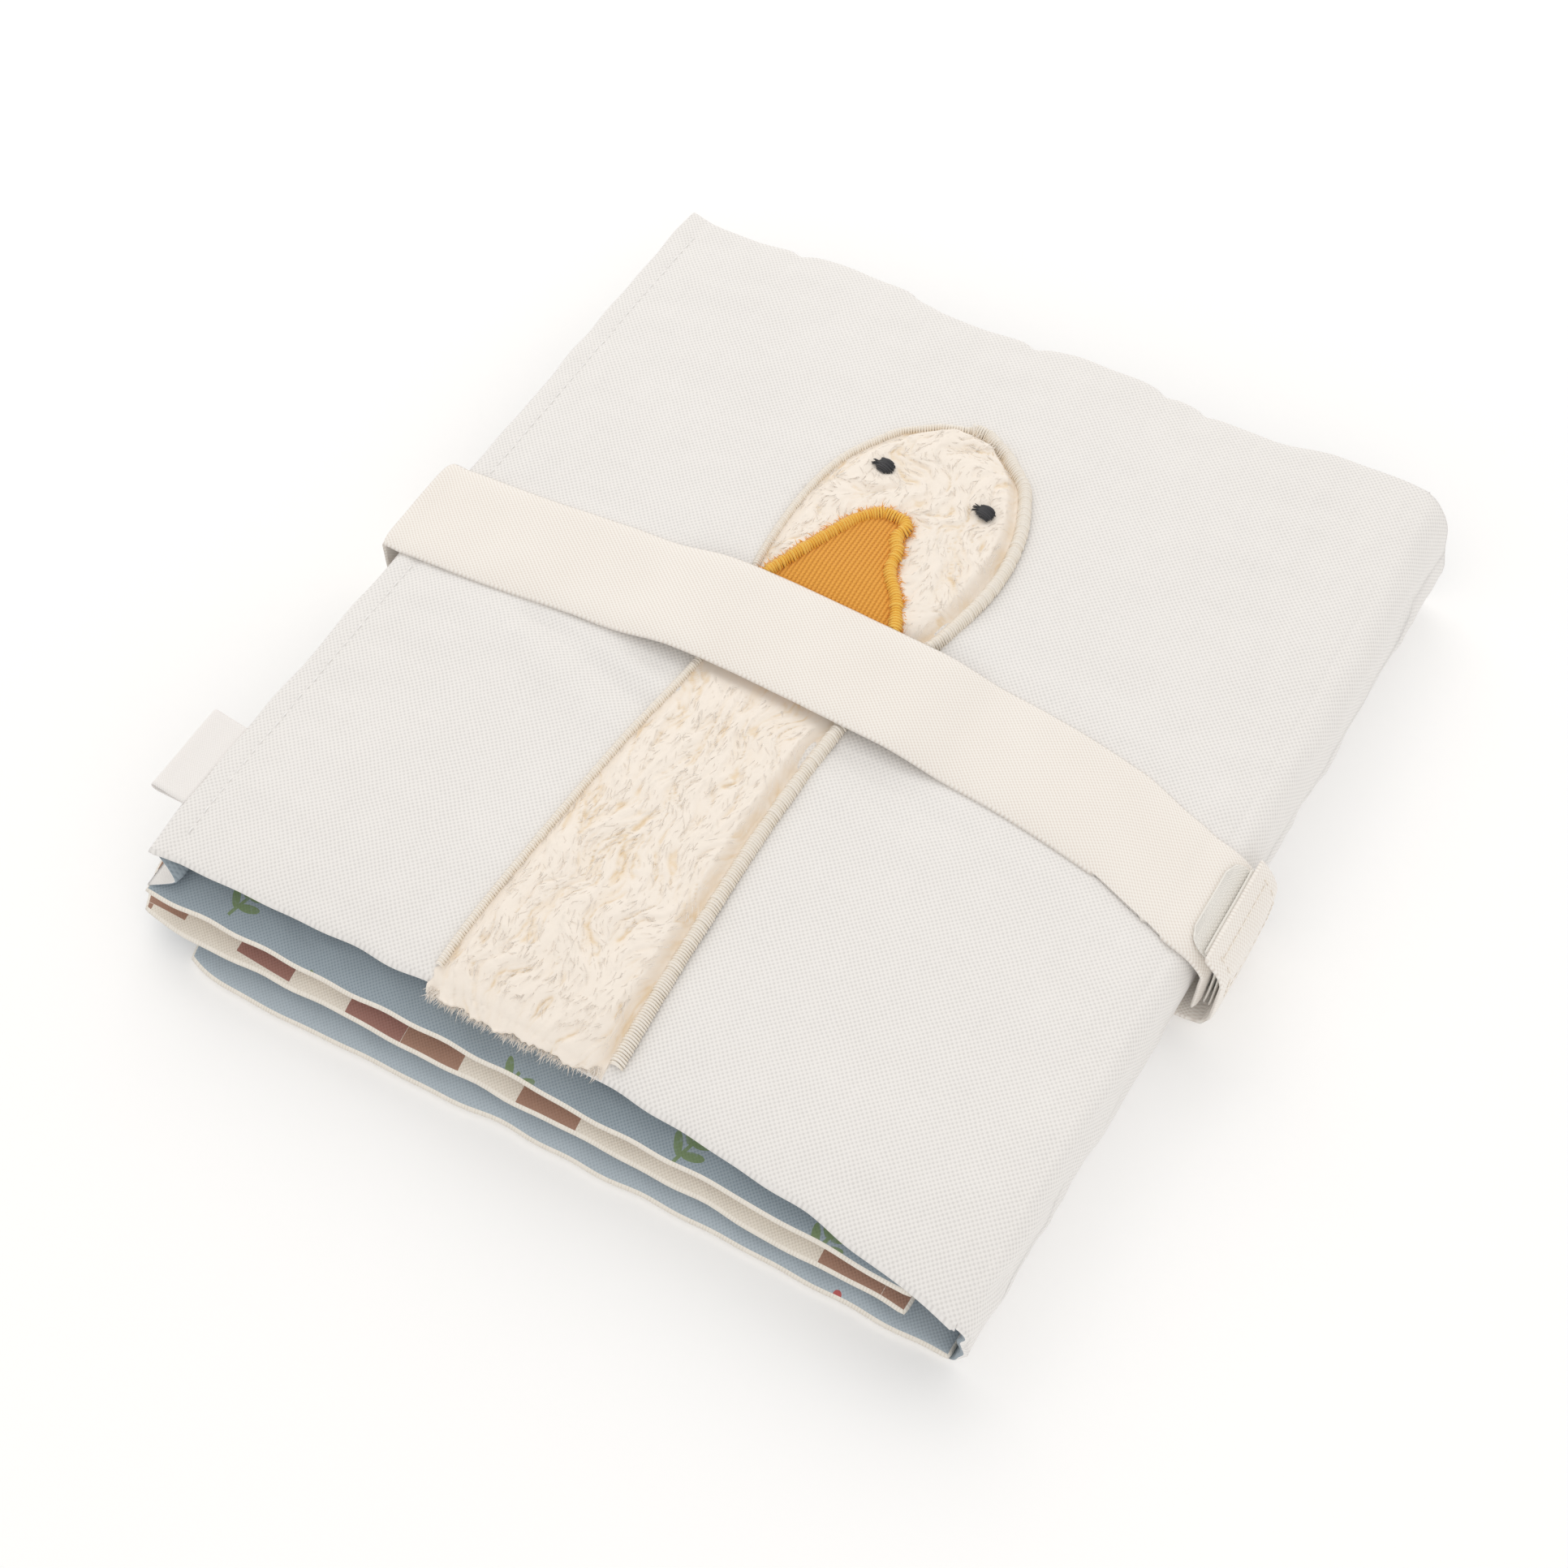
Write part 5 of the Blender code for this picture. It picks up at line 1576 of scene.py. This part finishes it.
    def beak_border(self) -> None:
        """Satin stitches across the beak's edge, and loose orange hairs outside them."""
        line = self.beak_line(0.0, 0.62 * MM)
        way = tangents(line, closed=True)
        side = leftward(way)
        x, y = line[:, 0], line[:, 1]
        z = self.beak_height(x, y) + 0.25 * MM
        rng = np.random.default_rng(140)
        sizes = points_of(rng.uniform(2.7, 3.2, len(x)) * MM, 0.60 * MM, 1.4 * MM)
        border = self.shapes.satin.make("beak_satin_border", self.shapes.stitch, points_of(x, y, z),
                                        facing(side), sizes, self.cupboard.orange_thread)
        self.press(border)
        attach(border, "front")
        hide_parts("beak_edging")
        line = self.beak_line(1.1 * MM, 0.14 * MM)
        way = tangents(line, closed=True)
        side = leftward(way)
        lean = rng.normal(0, 0.7, len(line))
        side = side * np.cos(lean)[:, None] + way * np.sin(lean)[:, None]
        x, y = line[:, 0], line[:, 1]
        z = self.beak_height(x, y) - 0.05 * MM
        sizes = points_of(rng.uniform(0.8, 1.9, len(x)) * MM, 0.16 * MM,
                          rng.uniform(0.2, 0.7, len(x)) * MM)
        fuzz = self.shapes.locks.make("beak_fuzz", self.shapes.lock, points_of(x, y, z),
                                      facing(side, rng.normal(0.15, 0.2, len(x))), sizes, self.cupboard.orange_fuzz)
        self.press(fuzz)
        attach(fuzz, "front")

    def eyes(self) -> None:
        """Two small embroidered eyes: a pad of satin stitches, each with a short tail."""
        rng = np.random.default_rng(151)
        for name, node, side in (("left_eye_satin", "left_eye", -1), ("right_eye_satin", "right_eye", 1)):
            cx, cy = self.eye_x(side), EYE_Y
            stitches, tail, longest = 11, 60, 12
            offset = np.linspace(-0.94, 0.94, stitches)
            length = 3.0 * (1 - offset ** 4) ** 0.5 * MM + 0.8 * MM
            x = cx + 0.15 * MM * rng.normal(0, 1, stitches)
            y = cy + offset * 1.75 * MM
            z = self.height(x, y) + 0.60 * MM
            sizes = points_of(length, 0.46 * MM, 0.85 * MM * np.sqrt(1.05 - offset ** 2))
            way = np.tile([1.0, -0.12], (stitches, 1))
            long_ = np.arange(tail) < longest
            angle = np.where(long_, math.pi + rng.normal(0, 0.25, tail), rng.uniform(0, 6.3, tail))
            ring = points_of(np.cos(angle), np.sin(angle))
            hair_x, hair_y = cx + ring[:, 0] * 1.7 * MM, cy + ring[:, 1] * 1.3 * MM
            hair_z = self.height(hair_x, hair_y) + 0.7 * MM
            reach = np.where(long_, 2.6, 0.8) * MM
            hairs = points_of(reach * rng.uniform(0.7, 1.3, tail), 0.14 * MM, 0.4 * MM)
            piece = self.shapes.satin.make(
                name, self.shapes.stitch, np.vstack([points_of(x, y, z), points_of(hair_x, hair_y, hair_z)]),
                np.vstack([facing(way), facing(ring)]), np.vstack([sizes, hairs]), self.cupboard.dark_thread)
            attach(piece, "front")
            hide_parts(node)

    def build(self) -> None:
        """Makes the whole goose."""
        self.ground()
        self.wisps()
        self.edging()
        self.beak()
        self.eyes()


# ---------------------------------------------------------------- the strap and its fastening


@dataclass
class Strap:
    """The band round the book, its closing tab and the fastening patches."""

    cupboard: Cupboard
    shapes: Shapes
    width: float = STRAP_WIDTH
    thickness: float = STRAP_THICKNESS
    patch: float = 0.7 * MM

    def side_route(self) -> list:
        """The route from the shoulder of the spine down to the strap's end."""
        top = float(cover_top(FRONT.right, STRAP_CENTRE_Y)) + GAP + self.thickness * 0.75
        low = 8 * MM
        return [(SPINE_X - 4 * MM, top), (SPINE_X + SPINE_BULGE / 2, top), (STRAP_RIGHT_X, top - 5 * MM),
                (STRAP_RIGHT_X, (top + low) / 2), (STRAP_RIGHT_X, low)]

    def tape(self, name: str, route: list, width: float, thickness: float, offset: float,
             material: bpy.types.Material, round_end: bool = False, curl: float = 0.0) -> bpy.types.Object:
        """A soft tape along a route.

        Args:
            name: the piece's name.
            route: points across the book, each an x and a height.
            width: the tape's width.
            thickness: its thickness.
            offset: how far outside the route it lies.
            material: what it is made of.
            round_end: whether its first end has rounded corners.
            curl: how far its edges turn towards the book.

        Returns:
            The piece.
        """
        path = resampled(np.array(rounded(route, 2)), 1.0 * MM)
        way, run = tangents(path), run_along(path)
        across = np.sin(np.linspace(-math.pi / 2, math.pi / 2, 25))
        along, t = np.meshgrid(np.arange(len(path)), across)
        cx, cz = path[along, 0], path[along, 1]
        half = np.full(cx.shape, width / 2)
        if round_end:
            corner = 3.5 * MM
            inset = np.clip(corner - run[along], 0, corner)
            half = half - (corner - np.sqrt(np.clip(corner ** 2 - inset ** 2, 0, None)))
        y = strap_middle(cx) + t * half
        wave = Ripple(30 * MM, 161)(run[along], y) * 0.10 * MM + Ripple(11 * MM, 162)(run[along], y) * 0.04 * MM
        crown = 0.10 * MM * (1 - t ** 2) - curl * t ** 8
        thick = thickness / 2 * (1 - 0.45 * np.abs(t) ** 8)
        normal = points_of(-way[along, 1], 0.0, way[along, 0])
        base = points_of(cx, y, cz) + normal * (offset + crown + wave)[..., None]
        uv = points_of(run[along], t * width / 2) / MM
        return shell(name, base + normal * thick[..., None], base - normal * thick[..., None],
                     [material] * 2, uv, bead=thickness * 0.38)

    def front_route(self) -> list:
        """The route of the strap from the top of its side over the cover to the spine."""
        run = [(STRAP_LEFT_X, STRAP_SIDE_TOP_Z - 0.2 * MM), (STRAP_LEFT_X, STRAP_SIDE_TOP_Z + self.thickness)]
        side = self.side_route()
        for x in np.sin(np.linspace(-math.pi / 2, math.pi / 2, 49))[1:-1]:
            x = (FRONT.left + FRONT.right) / 2 + x * (FRONT.right - FRONT.left) / 2
            if x < side[0][0]:
                z = float(cover_top(x, strap_middle(x))) + GAP + self.thickness / 2 + float(strap_lift(x))
                run.append((float(x), z))
        return run + side

    def build(self) -> None:
        """Makes the band, the tab and the patches."""
        twill = self.cupboard.strap
        under = [(STRAP_LEFT_X + self.thickness, STRAP_BACK_Z), (BACK.right, STRAP_BACK_Z)]
        piece = self.tape("strap_under", under, self.width, self.thickness, 0.0, twill)
        self.settle(piece, "strap_back", "back")
        foot = STRAP_BACK_Z + self.thickness / 2 + GAP
        piece = self.tape("strap_rise", [(STRAP_LEFT_X, foot - 0.8 * MM), (STRAP_LEFT_X, STRAP_SIDE_TOP_Z)],
                          self.width, self.thickness, 0.0, twill)
        self.settle(piece, "strap_side", "back", "strap_side")
        piece = self.tape("strap_over", self.front_route(), self.width, self.thickness, 0.0, twill, curl=0.42 * MM)
        self.settle(piece, "strap_front", "strap_side", "strap_front")
        self.fastening()

    def fastening(self) -> None:
        """The tab over the strap's end, the patch of hooks that peeps out and the loops under the tab."""
        route = rounded(self.side_route(), 2)
        wide = self.width - 4 * MM
        patch = self.tape("hook_patch_tape", route[round(0.15 * len(route)):], wide, self.patch, HOOK_OFFSET,
                          self.cupboard.hook, round_end=True)
        self.settle(patch, "hook_patch", "strap_front")
        loops = self.tape("loop_patch_tape", route[round(0.35 * len(route)):], wide, self.patch, LOOP_OFFSET,
                          self.cupboard.hook)
        self.settle(loops, "loop_patch", "closing_tab")
        foot = STRAP_BACK_Z + TAB_OFFSET
        tab = rounded(self.side_route() + [(STRAP_RIGHT_X, foot), (BACK.right + GAP, foot)], 2)
        tab = tab[round(0.35 * len(route)):]
        piece = self.tape("closing_tab_tape", tab, self.width, self.thickness, TAB_OFFSET, self.cupboard.strap)
        self.settle(piece, "closing_tab", "back", "closing_tab")
        self.box_stitch(tab)

    def settle(self, piece: bpy.types.Object, node: str, body: str, second: str = "") -> None:
        """Hides a tape's model part and hands the tape to its body; a tape between two bodies stays in its place with
        no body.
        """
        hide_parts(node)
        if second:
            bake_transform(piece)
        else:
            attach(piece, body)

    def box_stitch(self, tab: list) -> None:
        """The small stitched oblong that holds the loops to the tab."""
        inset, reach, step = 2.6, 13, 0.25
        path = resampled(np.array(rounded(tab, 2)), step * MM)
        way = tangents(path)
        first, last = round(inset / step), round(reach / step)
        half = self.width / 2 - inset * MM
        places = [(i, side * half, 0.0) for i in range(first, last, 8) for side in (-1, 1)]
        places += [(i, t, 1.0) for i in (first, last) for t in np.arange(-half + 1 * MM, half, 2.1 * MM)]
        points, turns = [], []
        for i, t, cross in places:
            out = np.array([-way[i, 1], 0, way[i, 0]])
            centre = np.array([path[i, 0], float(strap_middle(path[i, 0])) + t, path[i, 1]])
            points.append(centre + out * (TAB_OFFSET + self.thickness / 2 + 0.02 * MM))
            along = np.array([way[i, 0], 0, way[i, 1]]) if not cross else np.array([0.0, 1.0, 0.0])
            axes = Matrix((along, np.cross(out, along), out)).transposed()
            turns.append(tuple(axes.to_euler()))
        sizes = np.tile([1.7 * MM, 0.34 * MM, 0.22 * MM], (len(points), 1))
        piece = self.shapes.running.make("tab_box_stitch", self.shapes.stitch, np.array(points), np.array(turns),
                                         sizes, self.cupboard.cream_thread)
        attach(piece, "closing_tab")


@dataclass
class Label:
    """The small folded tape in the free edge, left bare."""

    tape: bpy.types.Material

    def build(self) -> bpy.types.Object:
        """Makes the folded tape, a little open at its tip.

        Returns:
            The piece.
        """
        height = FRONT.base + FRONT.seam
        turn = np.linspace(0, math.pi, 15)
        tip, bend = LABEL_X - LABEL_REACH - 0.9 * MM, 1.2 * MM
        bulge = np.linspace(0, 1, 12)[:-1]
        low = [(LABEL_X - 0.1 * MM + (tip + bend - LABEL_X) * s, height - (0.2 + 0.85 * s) * MM) for s in bulge]
        fold = [(tip + bend - bend * math.sin(a), height - 1.05 * MM * math.cos(a)) for a in turn]
        path = np.array(low + fold + [(x, 2 * height - z) for x, z in reversed(low)])
        way, run = tangents(path), run_along(path)
        along, t = np.meshgrid(np.arange(len(path)), np.linspace(-1, 1, 25))
        y = LABEL_CENTRE_Y + t * LABEL_WIDTH / 2
        sway = 0.25 * MM * np.sin(y / (6 * MM)) * (run[along] / run[-1]) * (1 - run[along] / run[-1]) * 4
        base = points_of(path[along, 0], y, path[along, 1] + sway)
        normal = points_of(-way[along, 1], 0.0, way[along, 0])
        piece = shell("folded_label", base + normal * 0.15 * MM, base - normal * 0.15 * MM, [self.tape] * 2,
                      points_of(run[along], y) / MM, bead=0.1 * MM)
        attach(piece, "label")
        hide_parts("label")
        return piece


# ---------------------------------------------------------------- the studio


@dataclass
class Studio:
    """The pale floor, the soft light and the camera."""

    focus: tuple = (0.0085, -0.0232, 0.0275)
    distance: float = 0.4285
    azimuth: float = 31.22
    elevation: float = 59.39
    lens: float = 50.31

    def floor(self) -> None:
        """A wide pale sheet under the book."""
        mesh = bpy.data.meshes.new("floor")
        mesh.from_pydata([(-3, -3, 0), (3, -3, 0), (3, 3, 0), (-3, 3, 0)], [], [(0, 1, 2, 3)])
        paint = Paint("floor_paper", 0.7)
        paint.feed("Base Color", (0.93, 0.93, 0.93))
        paint.feed("Emission Color", (1.0, 1.0, 1.0))
        paint.feed("Emission Strength", 0.12)
        mesh.materials.append(paint.material)
        sheet = linked("floor", mesh)
        sheet.location.z = -0.0005

    def light(self, name: str, place: tuple, size: float, power: float, colour: tuple) -> None:
        """A soft square lamp that looks at the book."""
        lamp = bpy.data.lights.new(name, "AREA")
        lamp.size, lamp.energy, lamp.color = size, power, colour
        holder = linked(name, lamp)
        holder.location = place
        holder.rotation_euler = (-Vector(place)).to_track_quat("-Z", "Y").to_euler()

    def camera(self) -> None:
        """The camera at the photograph's angle."""
        azimuth, elevation = math.radians(self.azimuth), math.radians(self.elevation)
        back = Vector((math.sin(azimuth) * math.cos(elevation), -math.cos(azimuth) * math.cos(elevation),
                       math.sin(elevation)))
        data = bpy.data.cameras.new("photo_camera")
        data.lens, data.sensor_width, data.clip_start = self.lens, 36.0, 0.01
        holder = linked("photo_camera", data)
        holder.location = Vector(self.focus) - Vector(ORIGIN) + back * self.distance
        holder.rotation_euler = (-back).to_track_quat("-Z", "Y").to_euler()
        bpy.context.scene.camera = holder

    def build(self) -> None:
        """Sets up the whole studio."""
        self.floor()
        self.camera()
        self.light("key_light", (-0.55, 0.65, 0.80), 0.9, 3.3, (1.0, 0.975, 0.94))
        self.light("fill_light", (0.7, -0.5, 0.7), 1.0, 0.9, (1.0, 0.99, 0.98))
        world = bpy.data.worlds.new("studio")
        world.use_nodes = True
        world.node_tree.nodes["Background"].inputs[0].default_value = (1.0, 0.985, 0.965, 1.0)
        world.node_tree.nodes["Background"].inputs[1].default_value = 0.81
        bpy.context.scene.world = world
        bpy.context.scene.view_settings.view_transform = "Standard"


def report() -> None:
    """Tells what was made."""
    for piece in bpy.context.scene.objects:
        if piece.type == "MESH":
            LOG.info("%s: %d faces", piece.name, len(piece.data.polygons))


def main() -> None:
    """Builds the book and the studio around it."""
    logging.basicConfig(level=logging.INFO, format="%(message)s")
    cupboard, shapes = Cupboard(), Shapes()
    pads = (
        Leaf("back_leaf", BACK, "back", ("back_outer_cover", "back_lining", "back_wadding"),
             cupboard.berries, cupboard.canvas, cupboard.page_plain, "canvas", seed=10),
        Leaf("leaf_c_pad", LEAF_C, "leaf_c", ("leaf_c_lining", "leaf_c_page", "leaf_c_wadding"),
             cupboard.page, cupboard.lining, cupboard.page_plain, "page_cloth", seed=20),
        Leaf("leaf_b_pad", LEAF_B, "front", ("leaf_b_page", "leaf_b_lining", "leaf_b_wadding"),
             cupboard.sprigs, cupboard.page, cupboard.page_plain, "blue_lining", seed=30),
    )
    for pad in pads:
        pad.build()
    cover = Cover("front_leaf", FRONT, "front", ("front_lining", "front_outer_cover", "front_wadding"),
                  cupboard.canvas, cupboard.lining, cupboard.canvas, "canvas", step=1.5 * MM, seed=50,
                  pucker=0.22 * MM, side="column",
                  notches=((-0.68, 1.3), (-0.02, 1.3), (0.326, 1.1), (0.437, 1.0), (-0.35, 0.6)),
                  creases=(((-60, -14), (-24, -22), -1.3, 2.6), ((-60, -21), (-28, -29), 0.7, 4.0),
                           ((-46, -10), (-24, -13), -0.7, 1.6), ((12, -10), (44, -15), -0.9, 2.4),
                           ((13, -14), (34, -19), -0.6, 1.8), ((14, -19), (46, -24), 0.5, 4.0),
                           ((-70, 16), (-30, 24), -0.35, 3.5), ((30, 26), (62, 32), -0.35, 3.5)))
    cover.build()
    cover.topstitch(shapes, cupboard.white_thread)
    Spine(cupboard.canvas, cupboard.lining).build()
    strips = JoiningStrips(cupboard.gusset, cupboard.lining)
    strips.gusset()
    strips.inner_fold()
    Goose(cupboard, shapes).build()
    Strap(cupboard, shapes).build()
    Label(cupboard.label).build()
    report()
    Studio().build()


if __name__ == "__main__":
    main()
